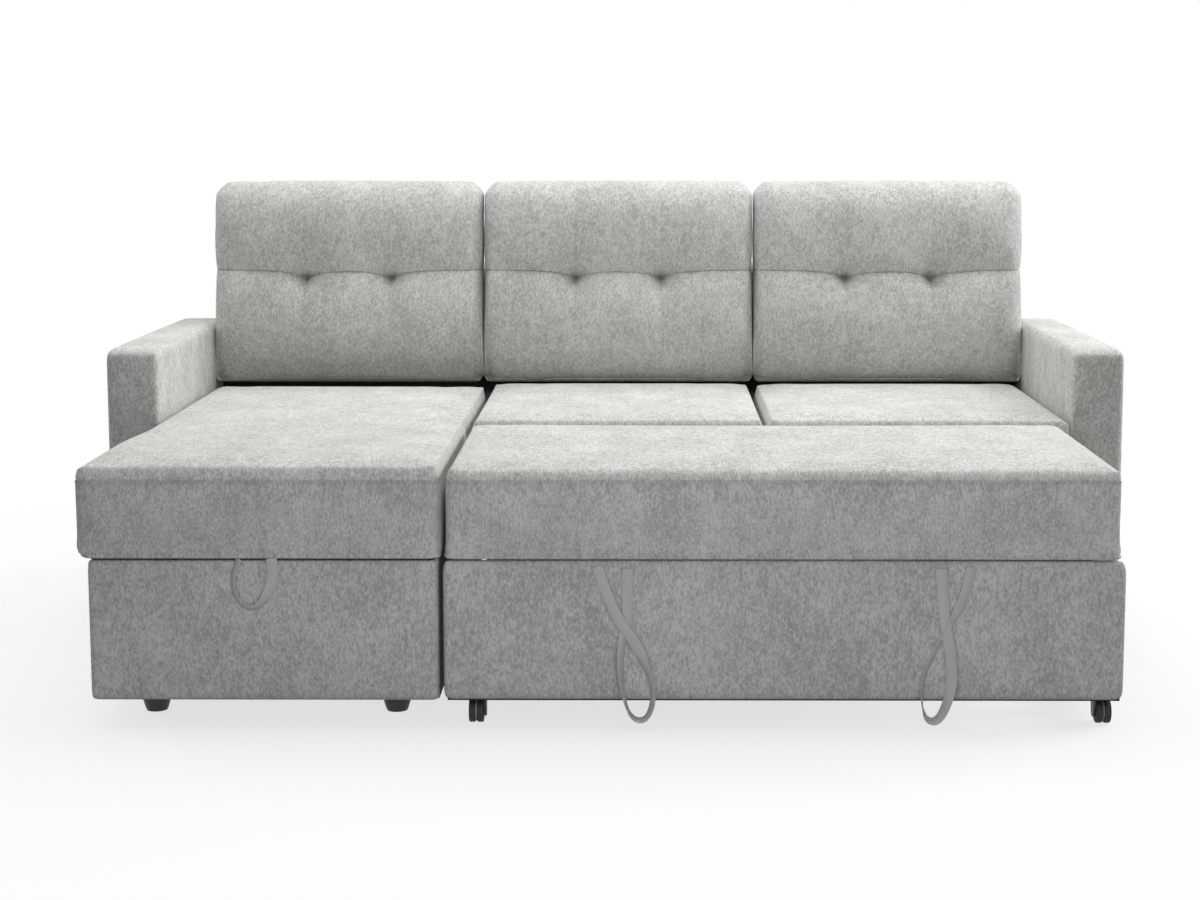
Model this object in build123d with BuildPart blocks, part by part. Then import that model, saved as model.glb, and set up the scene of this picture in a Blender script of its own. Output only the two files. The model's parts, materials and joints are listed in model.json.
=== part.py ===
from build123d import *
import os
from math import cos, radians, sin, tan

# A corner sofa bed: two arms, three back cushions, a chaise with a storage box under its cushion,
# and a bed carriage that rolls out of the seat with its mattress raised to seat level.
# Millimetres. Origin on the floor under the middle of the sofa, +X right, +Y to the back, +Z up.

# Overall size
sofa_width = 2080.0
sofa_depth = 1400.0
base_height = 253.0
cushion_nose = 10.0

# Arms
arm_thickness = 110.0
arm_length = 763.0
arm_height = 560.0
arm_front_radius = 18.0
arm_rear_radius = 70.0
arm_edge_radius = 9.0
arm_rail = 45.0

# Upholstery over wooden frames
padding = 10.0
seating_gap = 0.5
board = 18.0

# Back
back_height = 690.0
back_thickness = 60.0
back_frame_drop = 33.0
back_skin = 10.0
back_rail = 60.0
back_top_radius = 22.0
ledge_depth = 55.0
ledge_height = 29.0
ledge_bracket_thickness = 4.0
ledge_bracket_width = 40.0
ledge_bracket_drop = 44.0

# Cushions
cushion_lift = 3.0
cushion_border = 138.0
cushion_crown = 26.0
cushion_corner = 26.0
cushion_draw = 5.0
border_tuck = 4.0
cushion_gap = 3.0
crown_shoulder = 0.62
crown_shoulder_inset = 60.0
crown_top_inset = 180.0
seat_depth = 608.5
seat_middle_width = 600.0
seat_tuck = 40.0

# Back cushions
back_cushion_depth = 185.0
back_cushion_height = 462.0
back_cushion_seam = 260.0
back_cushion_corner = 44.0
back_cushion_bulge = 14.0
back_cushion_gap = 3.0
seam_draw = 16.0
tuft_spacing = 194.0
tuft_radius = 34.0
tuft_depth = 18.0
tuft_drop = 12.0

# Chaise box and its lid
chaise_side_gap = 9.0
chaise_width = 617.0
chaise_box_overlap = 364.0
chaise_floor_thickness = 12.0
chaise_corner_radius = 7.0
lid_thickness = 12.0
lid_clearance = 1.5
lid_inset = 13.0
lid_bumper_radius = 6.0
lid_bumper_gap = 0.3
pivot_behind_panel = 32.0
pivot_below_top = 20.0
pivot_radius = 5.0
pivot_clearance = 0.3
pivot_boss_gap = 1.5
pivot_collar = 4.0
pivot_tab_thickness = 3.0
pivot_tab_width = 28.0
pivot_flange_reach = 30.0

# Feet
foot_top_radius = 27.0
foot_bottom_radius = 19.0
chaise_foot_inset_x = 88.0
chaise_foot_inset_y = 124.0
arm_foot_inset = 45.0

# Seat frame
seat_frame_height = 38.0
seat_frame_setback = 14.0
seat_rail = 40.0
arm_connector_setback = 63.0
webbing_thickness = 3.0
webbing_width = 60.0
webbing_count = 9

# Bed carriage
bay_gap = 9.0
panel_right_gap = 20.0
panel_thickness = 30.0
panel_skin = 6.0
panel_top_drop = 2.0
panel_edge_radius = 7.0
rail_width = 30.0
rail_height = 36.0
rail_wall = 2.5
rail_inset_left = 40.0
rail_inset_right = 13.5
rail_overlap = 170.0
cross_board_width = 60.0
front_cross_board = 290.0
rear_cross_board = 110.0
corner_bracket_leg = 50.0
corner_bracket_thickness = 3.0
guide_height = 30.0
guide_gap = 0.8
guide_setback = 40.0

# Casters
wheel_radius = 22.0
wheel_width = 26.0
wheel_groove = 3.0
wheel_groove_depth = 5.0
axle_radius = 4.0
axle_clearance = 0.3
caster_plate = 3.5
caster_cheek = 4.0
caster_setback = 45.0
rear_caster_inset = 35.0
wheel_clearance = 2.5

# Swing-arm lift
pivot_above_rail = 21.3
lift_lean = 10.0
lift_bar = 6.0
lift_bar_width = 22.0
lift_boss_radius = 14.0
lift_pin_radius = 6.0
lift_pin_clearance = 0.3
lift_head_radius = 9.0
lift_head = 2.0
rail_to_bar = 4.0
bar_to_platform = 5.0
pivot_below_mattress = 20.0
front_pivot_setback = 96.0
rear_pivot_inset = 80.0
shaft_radius = 8.0
shaft_clearance = 0.3
stop_radius = 6.0
stop_gap = 0.3
stop_reach = 12.0

# Mattress and its platform
mattress_rear_gap = 18.0
mattress_side_inset = 4.0
mattress_right_inset = 8.0
platform_front_gap = 6.0
platform_rear_inset = 18.0
platform_rail = 30.0
platform_height = 22.0
slat_width = 55.0
slat_thickness = 8.0
slat_count = 10

# Pull straps
strap_width = 20.0
strap_thickness = 2.5

# Places worked out from the sizes above
floor_gap = 2 * wheel_radius + wheel_clearance + caster_plate
base_top = floor_gap + base_height
arm_top = floor_gap + arm_height
back_top = floor_gap + back_height
back_frame_bottom = base_top - back_frame_drop
rear_y = sofa_depth / 2
front_y = -sofa_depth / 2
base_front = front_y + cushion_nose
arm_inner = sofa_width / 2 - arm_thickness
arm_front = rear_y - arm_length
back_front = rear_y - back_thickness
seat_bottom = base_top + cushion_lift
seam_z = seat_bottom + cushion_border
crown_z = seam_z + cushion_crown
back_cushion_rear = back_front - seating_gap
seat_back = back_cushion_rear - back_cushion_depth
back_cushion_bottom = crown_z + 4.0
seat_rear = seat_back + seat_tuck
seat_front = seat_rear - seat_depth
seat_frame_front = seat_front + seat_frame_setback
chaise_rear_panel_y = seat_front + chaise_box_overlap
chaise_left = -arm_inner + chaise_side_gap
chaise_right = chaise_left + chaise_width
chaise_inner_left = chaise_left + board
chaise_inner_right = chaise_right - board
panel_left = chaise_right + bay_gap
panel_right = arm_inner - panel_right_gap
panel_top = base_top - panel_top_drop
chaise_cushion_left = -arm_inner + 1.0
chaise_cushion_right = panel_left - 1.0
seat_left = chaise_cushion_right + cushion_gap
seat_split = seat_left + seat_middle_width
seat_right = arm_inner - 2.0
pivot_y = chaise_rear_panel_y + board + pivot_behind_panel
pivot_z = base_top - pivot_below_top
pivot_boss_radius = pivot_below_top - pivot_boss_gap
lid_bottom = base_top + lid_clearance
left_rail_x = panel_left + rail_inset_left
right_rail_x = panel_right - rail_inset_right - rail_width
rail_bottom = floor_gap
rail_front = base_front + panel_thickness
guide_front = seat_frame_front + guide_setback
rail_rear = guide_front + rail_overlap
rail_length = rail_rear - rail_front
lift_upper_z = seat_bottom - pivot_below_mattress
lift_lower_z = rail_bottom + pivot_above_rail
lift_length = (lift_upper_z - lift_lower_z) / cos(radians(lift_lean))
lift_set_back = lift_length * sin(radians(lift_lean))
front_upper_y = base_front + front_pivot_setback
mattress_rear = seat_front - mattress_rear_gap
platform_rear = mattress_rear - platform_rear_inset
rear_upper_y = platform_rear - rear_pivot_inset
front_lower_y = front_upper_y + lift_set_back
rear_lower_y = rear_upper_y + lift_set_back
left_bar_x = left_rail_x + rail_width + rail_to_bar
right_bar_x = right_rail_x - rail_to_bar - lift_bar
platform_left = left_bar_x + lift_bar + bar_to_platform
platform_right = right_bar_x - bar_to_platform
platform_front = base_front + panel_thickness + platform_front_gap
slat_bottom = seat_bottom - slat_thickness
platform_bottom = slat_bottom - platform_height

os.makedirs("parts", exist_ok=True)


def save(piece, name):
    """Label a finished piece and write it under its own name."""
    piece.label = name
    export_step(piece, f"parts/{name}.step")


def block(x_low, x_high, y_low, y_high, z_low, z_high, mode=Mode.ADD):
    """Add a squared board between two corners to the part being built, or cut one from it."""
    with Locations(((x_low + x_high) / 2, (y_low + y_high) / 2, (z_low + z_high) / 2)):
        Box(x_high - x_low, y_high - y_low, z_high - z_low, mode=mode)


# Arms: an upholstered cover open underneath, over a windowed wooden frame


def arm_outline(at_x, inset):
    """Side view of an arm, drawn in by inset at the front, top and back."""
    front = arm_front + inset
    rear = rear_y - inset
    top = arm_top - inset
    with BuildSketch(Plane.YZ.offset(at_x)) as outline:
        with BuildLine():
            FilletPolyline(
                (front, floor_gap),
                (front, top),
                (rear, top),
                (rear, floor_gap),
                radius=[arm_front_radius - inset / 2, arm_rear_radius - inset],
            )
            Line((rear, floor_gap), (front, floor_gap))
        make_face()
    return outline.sketch


def make_arm(side, low_x):
    """One arm, from its lowest X."""
    with BuildPart() as cover:
        extrude(arm_outline(low_x, 0), amount=arm_thickness)
        for place in (0, -1):
            rim = cover.faces().filter_by(Axis.X).sort_by(Axis.X)[place].edges()
            fillet(rim.filter_by(lambda edge: edge.center().Z > floor_gap + 1), arm_edge_radius)
        hollow = arm_thickness - 2 * padding
        extrude(arm_outline(low_x + padding, padding), amount=hollow, mode=Mode.SUBTRACT)
    save(cover.part, f"arm_cover_{side}")

    inset = padding + seating_gap
    window_width = (arm_length - 2 * inset - 4 * arm_rail) / 3
    window_height = arm_top - floor_gap - inset - 3 * arm_rail
    window_middle = (arm_front + arm_length / 2, floor_gap + arm_rail + window_height / 2)
    with BuildPart() as frame:
        extrude(arm_outline(low_x + inset, inset), amount=arm_thickness - 2 * inset)
        with BuildSketch(Plane.YZ.offset(low_x)):
            with Locations(window_middle):
                with GridLocations(window_width + arm_rail, 1, 3, 1):
                    Rectangle(window_width, window_height)
        extrude(amount=arm_thickness, mode=Mode.SUBTRACT)
    save(frame.part, f"arm_frame_{side}")


make_arm("left", -sofa_width / 2)
make_arm("right", arm_inner)

# Back: a cover that thins to a skin below the frame, over a ladder of rails

back_half_width = arm_inner - seating_gap
back_frame_front = back_front + padding / 2
back_frame_rear = rear_y - back_skin

with BuildPart() as back_cover:
    with BuildSketch(Plane.YZ.offset(-back_half_width)) as back_profile:
        with BuildLine():
            Polyline(
                (rear_y, floor_gap),
                (rear_y, back_top),
                (back_front, back_top),
                (back_front, back_frame_bottom),
                (back_frame_rear, back_frame_bottom),
                (back_frame_rear, floor_gap),
                close=True,
            )
        make_face()
        fillet(back_profile.vertices().group_by(Axis.Y)[-1], back_top_radius)
    extrude(amount=2 * back_half_width)
    block(
        padding - back_half_width,
        back_half_width - padding,
        back_frame_front,
        back_frame_rear,
        back_frame_bottom,
        back_top - padding,
        mode=Mode.SUBTRACT,
    )
save(back_cover.part, "back_cover")

back_frame_width = 2 * (back_half_width - padding - seating_gap)
back_frame_top = back_top - padding - seating_gap
back_bay = (back_frame_width - 4 * back_rail) / 3
back_window_height = (back_frame_top - back_frame_bottom - 3 * back_rail) / 2

with BuildPart() as back_frame:
    with BuildSketch(Plane.XZ.offset(-(back_frame_rear - seating_gap))):
        with Locations((0, (back_frame_bottom + back_frame_top) / 2)):
            Rectangle(back_frame_width, back_frame_top - back_frame_bottom)
            with GridLocations(back_bay + back_rail, back_window_height + back_rail, 3, 2):
                Rectangle(back_bay, back_window_height, mode=Mode.SUBTRACT)
    extrude(amount=back_frame_rear - back_frame_front - 2 * seating_gap)
save(back_frame.part, "back_frame")

# Ledge that carries the back cushions, on steel angles
ledge_top = back_cushion_bottom - seating_gap
ledge_bottom = ledge_top - ledge_height
ledge_front = back_front - ledge_depth

with BuildPart() as cushion_ledge:
    block(-back_half_width, back_half_width, ledge_front, back_front, ledge_bottom, ledge_top)
    fillet(cushion_ledge.edges().filter_by(Axis.X).group_by(Axis.Y)[0], ledge_height / 5)
save(cushion_ledge.part, "cushion_ledge")

with BuildPart() as ledge_bracket:
    with BuildSketch(Plane.YZ):
        with BuildLine():
            Polyline(
                (back_front, ledge_bottom),
                (back_front, ledge_bottom - ledge_bracket_drop),
                (back_front - ledge_bracket_thickness, ledge_bottom - ledge_bracket_drop),
                (back_front - ledge_bracket_thickness, ledge_bottom - ledge_bracket_thickness),
                (ledge_front + ledge_bracket_thickness, ledge_bottom - ledge_bracket_thickness),
                (ledge_front + ledge_bracket_thickness, ledge_bottom),
                close=True,
            )
        make_face()
    extrude(amount=ledge_bracket_width / 2, both=True)
    fillet(ledge_bracket.edges().filter_by(Axis.X).group_by(Axis.Z)[1][0], ledge_bracket_thickness / 2)

with BuildPart() as ledge_brackets:
    with GridLocations(2 * back_half_width / 4, 1, 4, 1):
        add(ledge_bracket.part)
save(ledge_brackets.part, "ledge_brackets")

# Seat cushions, chaise cushion and mattress: a border that bulges, a crown above the seam


def cushion_outline(level, inset, x_low, x_high, y_low, y_high):
    """Plan of a cushion at one level: round corners, and sides that draw in between them."""
    corner = cushion_corner
    draw = cushion_draw
    left = x_low + inset
    right = x_high - inset
    front = y_low + inset
    rear = y_high - inset
    middle_x = (left + right) / 2
    middle_y = (front + rear) / 2
    cut = corner * (1 - cos(radians(45)))
    with BuildSketch(Plane.XY.offset(level)) as outline:
        with BuildLine():
            ThreePointArc((left + corner, front), (middle_x, front + draw), (right - corner, front))
            ThreePointArc((right - corner, front), (right - cut, front + cut), (right, front + corner))
            ThreePointArc((right, front + corner), (right - draw, middle_y), (right, rear - corner))
            ThreePointArc((right, rear - corner), (right - cut, rear - cut), (right - corner, rear))
            ThreePointArc((right - corner, rear), (middle_x, rear - draw), (left + corner, rear))
            ThreePointArc((left + corner, rear), (left + cut, rear - cut), (left, rear - corner))
            ThreePointArc((left, rear - corner), (left + draw, middle_y), (left, front + corner))
            ThreePointArc((left, front + corner), (left + cut, front + cut), (left + corner, front))
        make_face()
    return outline.sketch


def seat_cushion(x_low, x_high, y_low, y_high):
    """A boxed cushion between two corners in plan, on the seat's level."""
    border_middle = (seat_bottom + seam_z) / 2
    shoulder_z = seam_z + crown_shoulder * cushion_crown
    border = ((seat_bottom, border_tuck), (border_middle, 0), (seam_z, border_tuck / 2))
    crown = ((seam_z, border_tuck / 2), (shoulder_z, crown_shoulder_inset), (crown_z, crown_top_inset))
    with BuildPart() as cushion:
        for levels in (border, crown):
            loft([cushion_outline(level, inset, x_low, x_high, y_low, y_high) for level, inset in levels])
    return cushion.part


save(seat_cushion(seat_left, seat_split, seat_front, seat_rear), "seat_cushion_middle")
save(seat_cushion(seat_split + cushion_gap, seat_right, seat_front, seat_rear), "seat_cushion_right")

lid_left = chaise_cushion_left + lid_inset
lid_right = chaise_cushion_right - lid_inset
lid_front = front_y + lid_inset
chaise_cushion_rear = seat_back - cushion_gap
lid_rear = chaise_cushion_rear - lid_inset
lid_top = lid_bottom + lid_thickness

with BuildPart() as chaise_cushion:
    add(seat_cushion(chaise_cushion_left, chaise_cushion_right, front_y, chaise_cushion_rear))
    block(lid_left, lid_right, lid_front, lid_rear, lid_bottom, lid_top, mode=Mode.SUBTRACT)
save(chaise_cushion.part, "chaise_cushion")

mattress_left = panel_left + mattress_side_inset
mattress_right = panel_right - mattress_right_inset
save(seat_cushion(mattress_left, mattress_right, front_y, mattress_rear), "mattress")

# Back cushions: two lobes that meet at a drawn-in seam, with two sewn tufts


def back_cushion_outline(middle_x, level, half_width, front, rear):
    """Plan of a back cushion at one level: flat behind, bowed in front, round corners."""
    corner = min(back_cushion_corner, (rear - front - back_cushion_bulge) * 0.42)
    bow = front + back_cushion_bulge
    cut = corner * (1 - cos(radians(45)))
    left = middle_x - half_width
    right = middle_x + half_width
    with BuildSketch(Plane.XY.offset(level)) as outline:
        with BuildLine():
            ThreePointArc((left + corner, bow), (middle_x, front), (right - corner, bow))
            ThreePointArc((right - corner, bow), (right - cut, bow + cut), (right, bow + corner))
            Line((right, bow + corner), (right, rear - corner))
            ThreePointArc((right, rear - corner), (right - cut, rear - cut), (right - corner, rear))
            Line((right - corner, rear), (left + corner, rear))
            ThreePointArc((left + corner, rear), (left + cut, rear - cut), (left, rear - corner))
            Line((left, rear - corner), (left, bow + corner))
            ThreePointArc((left, bow + corner), (left + cut, bow + cut), (left + corner, bow))
        make_face()
    return outline.sketch


def back_cushion(name, x_low, x_high):
    """A back cushion between two sides, standing on the ledge."""
    middle_x = (x_low + x_high) / 2
    full = (x_high - x_low) / 2
    front = seat_back
    rear = back_cushion_rear
    bottom = back_cushion_bottom
    seam = bottom + back_cushion_seam
    top = bottom + back_cushion_height
    lower_height = seam - bottom
    upper_height = top - seam
    lower = (
        (bottom, full - 16, front + 20, rear - 8),
        (bottom + 0.3 * lower_height, full - 3, front, rear - 6),
        (bottom + 0.7 * lower_height, full - 3, front + 4, rear - 6),
        (seam, full - 6, front + seam_draw, rear - 6),
    )
    upper = (
        (seam, full - 6, front + seam_draw, rear - 6),
        (seam + 0.3 * upper_height, full - 3, front + 16, rear - 6),
        (seam + 0.72 * upper_height, full - 4, front + 34, rear - 7),
        (seam + 0.94 * upper_height, full - 14, front + 66, rear - 18),
        (top, full - 28, front + 90, rear - 38),
    )
    with BuildPart() as cushion:
        for lobe in (lower, upper):
            loft([back_cushion_outline(middle_x, *section) for section in lobe])
        tuft_y = front + seam_draw - tuft_radius + tuft_depth
        with Locations((middle_x, tuft_y, seam - tuft_drop)):
            with GridLocations(tuft_spacing, 1, 2, 1):
                Sphere(tuft_radius, mode=Mode.SUBTRACT)
    save(cushion.part, name)


back_pitch = (2 * back_half_width + back_cushion_gap) / 3
for number, place in enumerate(("left", "middle", "right")):
    cushion_left = -back_half_width + number * back_pitch
    back_cushion(f"back_cushion_{place}", cushion_left, cushion_left + back_pitch - back_cushion_gap)

# Seat frame and its webbing

seat_frame_left = panel_left + 1.0
seat_frame_right = arm_inner - seating_gap
seat_frame_rear = back_front - seating_gap
seat_frame_top = seat_bottom - webbing_thickness
seat_frame_width = seat_frame_right - seat_frame_left
seat_frame_depth = seat_frame_rear - seat_frame_front
seat_bay_width = (seat_frame_width - 3 * seat_rail) / 2

with BuildPart() as seat_frame:
    with BuildSketch(Plane.XY.offset(seat_frame_top - seat_frame_height)):
        with Locations(((seat_frame_left + seat_frame_right) / 2, (seat_frame_front + seat_frame_rear) / 2)):
            Rectangle(seat_frame_width, seat_frame_depth)
            with GridLocations(seat_bay_width + seat_rail, 1, 2, 1):
                Rectangle(seat_bay_width, seat_frame_depth - 2 * seat_rail, mode=Mode.SUBTRACT)
    extrude(amount=seat_frame_height)
save(seat_frame.part, "seat_frame")

with BuildPart() as seat_webbing:
    webbing_middle = ((seat_frame_left + seat_frame_right) / 2, (seat_frame_front + seat_frame_rear) / 2)
    with Locations((*webbing_middle, seat_frame_top + webbing_thickness / 2)):
        with GridLocations(seat_frame_width / webbing_count, 1, webbing_count, 1):
            Box(webbing_width, seat_frame_depth - seat_rail / 2, webbing_thickness)
save(seat_webbing.part, "seat_webbing")

# Chaise box: boards round a floor, with side panels that end in round pivot ears

chaise_side_rear = pivot_y + pivot_boss_radius

with BuildPart() as chaise_front_panel:
    block(chaise_left, chaise_right, base_front, base_front + board, floor_gap, base_top)
    fillet(chaise_front_panel.edges().filter_by(Axis.Z).group_by(Axis.Y)[0], chaise_corner_radius)
save(chaise_front_panel.part, "chaise_front_panel")

for side, low_x in (("left", chaise_left), ("right", chaise_right - board)):
    with BuildPart() as side_panel:
        with BuildSketch(Plane.YZ.offset(low_x)):
            with BuildLine():
                Polyline(
                    (pivot_y, pivot_z + pivot_boss_radius),
                    (pivot_y - pivot_boss_radius, base_top),
                    (base_front + board, base_top),
                    (base_front + board, floor_gap),
                    (chaise_side_rear, floor_gap),
                    (chaise_side_rear, pivot_z),
                )
                ear = pivot_boss_radius * sin(radians(45))
                ThreePointArc(
                    (chaise_side_rear, pivot_z),
                    (pivot_y + ear, pivot_z + ear),
                    (pivot_y, pivot_z + pivot_boss_radius),
                )
            make_face()
            with Locations((pivot_y, pivot_z)):
                Circle(pivot_radius + pivot_clearance, mode=Mode.SUBTRACT)
        extrude(amount=board)
    save(side_panel.part, f"chaise_{side}_panel")

with BuildPart() as chaise_rear_panel:
    rear_panel_rear = chaise_rear_panel_y + board
    block(chaise_inner_left, chaise_inner_right, chaise_rear_panel_y, rear_panel_rear, floor_gap, base_top)
save(chaise_rear_panel.part, "chaise_rear_panel")

with BuildPart() as chaise_floor:
    floor_front = base_front + board
    floor_top = floor_gap + chaise_floor_thickness
    block(chaise_inner_left, chaise_inner_right, floor_front, chaise_rear_panel_y, floor_gap, floor_top)
save(chaise_floor.part, "chaise_floor")

# Lid board, its bumpers, pivot brackets and pins

with BuildPart() as lid_board:
    block(lid_left, lid_right, lid_front, lid_rear, lid_bottom, lid_top)
    fillet(lid_board.edges().filter_by(Axis.Z), lid_thickness / 2)
save(lid_board.part, "lid_board")

bumper_height = lid_clearance - lid_bumper_gap
with BuildPart() as lid_bumpers:
    bumper_middle = ((chaise_left + chaise_right) / 2, (base_front + chaise_rear_panel_y + board) / 2)
    bumper_spread = chaise_rear_panel_y - base_front
    with Locations((*bumper_middle, base_top + bumper_height / 2)):
        with GridLocations(chaise_width / 2, bumper_spread, 2, 2):
            Cylinder(lid_bumper_radius, bumper_height)
save(lid_bumpers.part, "lid_bumpers")

tab_outer = pivot_collar
tab_inner = pivot_collar + pivot_tab_thickness

with BuildPart() as pivot_bracket:
    with BuildSketch(Plane.YZ.offset(tab_outer)):
        with BuildLine():
            Polyline(
                (pivot_y - pivot_tab_width / 2, pivot_z),
                (pivot_y - pivot_tab_width / 2, lid_bottom),
                (pivot_y + pivot_tab_width / 2, lid_bottom),
                (pivot_y + pivot_tab_width / 2, pivot_z),
            )
            ThreePointArc(
                (pivot_y + pivot_tab_width / 2, pivot_z),
                (pivot_y, pivot_z - pivot_tab_width / 2),
                (pivot_y - pivot_tab_width / 2, pivot_z),
            )
        make_face()
        with Locations((pivot_y, pivot_z)):
            Circle(pivot_radius + pivot_clearance, mode=Mode.SUBTRACT)
    extrude(amount=pivot_tab_thickness)
    flange_rear = pivot_y + pivot_tab_width
    flange_bottom = lid_bottom - pivot_tab_thickness
    flange_front = pivot_y - pivot_tab_width / 2
    block(tab_inner, tab_inner + pivot_flange_reach, flange_front, flange_rear, flange_bottom, lid_bottom)

with BuildPart() as lid_pivot_brackets:
    with Locations((chaise_inner_left, 0, 0)):
        add(pivot_bracket.part)
    right_bracket = mirror(pivot_bracket.part, about=Plane.YZ, mode=Mode.PRIVATE)
    with Locations((chaise_inner_right, 0, 0)):
        add(right_bracket)
save(lid_pivot_brackets.part, "lid_pivot_brackets")

with BuildPart() as pivot_pin:
    with BuildSketch(Plane.XZ.offset(-pivot_y)):
        with BuildLine():
            Polyline(
                (1 - board, pivot_z),
                (1 - board, pivot_z + pivot_radius),
                (pivot_clearance, pivot_z + pivot_radius),
                (pivot_clearance, pivot_z + 1.7 * pivot_radius),
                (pivot_collar - pivot_clearance, pivot_z + 1.7 * pivot_radius),
                (pivot_collar - pivot_clearance, pivot_z + pivot_radius),
                (tab_inner + 2 * pivot_clearance, pivot_z + pivot_radius),
                (tab_inner + 2 * pivot_clearance, pivot_z + 1.5 * pivot_radius),
                (tab_inner + 2.0 + 2 * pivot_clearance, pivot_z + 1.5 * pivot_radius),
                (tab_inner + 2.0 + 2 * pivot_clearance, pivot_z),
                close=True,
            )
        make_face()
    revolve(axis=Axis((0, pivot_y, pivot_z), (1, 0, 0)))

with BuildPart() as lid_pivot_pins:
    with Locations((chaise_inner_left, 0, 0)):
        add(pivot_pin.part)
    right_pin = mirror(pivot_pin.part, about=Plane.YZ, mode=Mode.PRIVATE)
    with Locations((chaise_inner_right, 0, 0)):
        add(right_pin)
save(lid_pivot_pins.part, "lid_pivot_pins")

# Feet: black bowls that narrow to the floor

with BuildPart() as foot:
    with BuildSketch(Plane.XZ):
        with BuildLine():
            Line((0, 0), (foot_bottom_radius, 0))
            foot_side = ((foot_bottom_radius + foot_top_radius) / 2 + 2.5, floor_gap * 0.45)
            ThreePointArc((foot_bottom_radius, 0), foot_side, (foot_top_radius, floor_gap - 6))
            Polyline((foot_top_radius, floor_gap - 6), (foot_top_radius, floor_gap), (0, floor_gap), (0, 0))
        make_face()
    revolve(axis=Axis.Z)

with BuildPart() as chaise_feet:
    feet_middle_x = (chaise_left + chaise_right) / 2
    feet_front = base_front + chaise_foot_inset_y
    feet_rear = chaise_rear_panel_y - chaise_foot_inset_x / 2
    feet_spread_x = chaise_width - 2 * chaise_foot_inset_x
    with Locations((feet_middle_x, (feet_front + feet_rear) / 2)):
        with GridLocations(feet_spread_x, feet_rear - feet_front, 2, 2):
            add(foot.part)
save(chaise_feet.part, "chaise_feet")

with BuildPart() as sofa_feet:
    with Locations((0, arm_front + arm_length / 2)):
        with GridLocations(sofa_width - arm_thickness, arm_length - 2 * arm_foot_inset, 2, 2):
            add(foot.part)
save(sofa_feet.part, "sofa_feet")

# Blocks that join the chaise box to the arm and to the seat frame

with BuildPart() as section_connectors:
    connector_rear = pivot_y - pivot_boss_radius
    first_connector = seat_frame_front + seat_rail
    last_connector = connector_rear - seat_rail
    seat_connectors = (first_connector, (seat_frame_front + connector_rear) / 2, last_connector)
    for connector_y in seat_connectors:
        block(
            chaise_right,
            seat_frame_left,
            connector_y - seat_rail / 2,
            connector_y + seat_rail / 2,
            seat_frame_top - seat_frame_height,
            seat_frame_top - lid_inset,
        )
    for connector_y in (arm_front + arm_connector_setback, connector_rear - seat_rail):
        block(
            -arm_inner,
            chaise_left,
            connector_y - seat_rail / 2,
            connector_y + seat_rail / 2,
            (floor_gap + base_top - seat_rail) / 2,
            (floor_gap + base_top + seat_rail) / 2,
        )
save(section_connectors.part, "section_connectors")

# Bed carriage: covered front panel, steel rails, cross boards, casters

with BuildPart() as front_panel_cover:
    block(panel_left, panel_right, base_front, base_front + panel_thickness, floor_gap, panel_top)
    fillet(front_panel_cover.edges().filter_by(Axis.Z), panel_edge_radius)
    fillet(front_panel_cover.faces().sort_by(Axis.Z)[-1].edges(), panel_edge_radius / 2)
    block(
        panel_left + panel_skin,
        panel_right - panel_skin,
        base_front + panel_skin,
        base_front + panel_thickness - panel_skin,
        floor_gap,
        panel_top - panel_skin,
        mode=Mode.SUBTRACT,
    )
save(front_panel_cover.part, "front_panel_cover")

with BuildPart() as front_panel_board:
    block(
        panel_left + panel_skin + seating_gap,
        panel_right - panel_skin - seating_gap,
        base_front + panel_skin + seating_gap / 2,
        base_front + panel_thickness - panel_skin - seating_gap / 2,
        floor_gap,
        panel_top - panel_skin - seating_gap,
    )
save(front_panel_board.part, "front_panel_board")

rail_middle_z = rail_bottom + rail_height / 2
for side, low_x in (("left", left_rail_x), ("right", right_rail_x)):
    with BuildPart() as side_rail:
        with BuildSketch(Plane.XZ.offset(-rail_front)):
            with Locations((low_x + rail_width / 2, rail_middle_z)):
                RectangleRounded(rail_width, rail_height, rail_wall)
                Rectangle(rail_width - 2 * rail_wall, rail_height - 2 * rail_wall, mode=Mode.SUBTRACT)
        extrude(amount=-rail_length)
        with BuildSketch(Plane.YZ.offset(low_x)):
            with Locations((front_lower_y, lift_lower_z)):
                Circle(shaft_radius + shaft_clearance)
            with Locations((rear_lower_y, lift_lower_z)):
                Circle(lift_pin_radius + lift_pin_clearance)
        extrude(amount=rail_width, mode=Mode.SUBTRACT)
    save(side_rail.part, f"side_rail_{side}")

carriage_left = left_rail_x
carriage_right = right_rail_x + rail_width

with BuildPart() as cross_boards:
    for middle_y in (base_front + front_cross_board, rail_rear - rear_cross_board):
        board_front = middle_y - cross_board_width / 2
        board_rear = middle_y + cross_board_width / 2
        block(carriage_left, carriage_right, board_front, board_rear, rail_bottom - board, rail_bottom)
save(cross_boards.part, "cross_boards")

bracket_low_z = rail_bottom + rail_height
with BuildPart() as panel_brackets:
    for low_x in (left_rail_x, right_rail_x):
        with BuildSketch(Plane.YZ.offset(low_x + rail_wall)):
            with BuildLine():
                Polyline(
                    (rail_front, bracket_low_z),
                    (rail_front + corner_bracket_leg, bracket_low_z),
                    (rail_front + corner_bracket_leg, bracket_low_z + corner_bracket_thickness),
                    (rail_front + corner_bracket_thickness, bracket_low_z + corner_bracket_leg),
                    (rail_front, bracket_low_z + corner_bracket_leg),
                    close=True,
                )
            make_face()
        extrude(amount=rail_width - 2 * rail_wall)
save(panel_brackets.part, "panel_brackets")

# Casters: an angle with one cheek inboard, a stub axle and a grooved wheel

caster_gap = 1.0
caster_places = {"front": base_front + caster_setback, "rear": rail_rear - rear_caster_inset}

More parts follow.
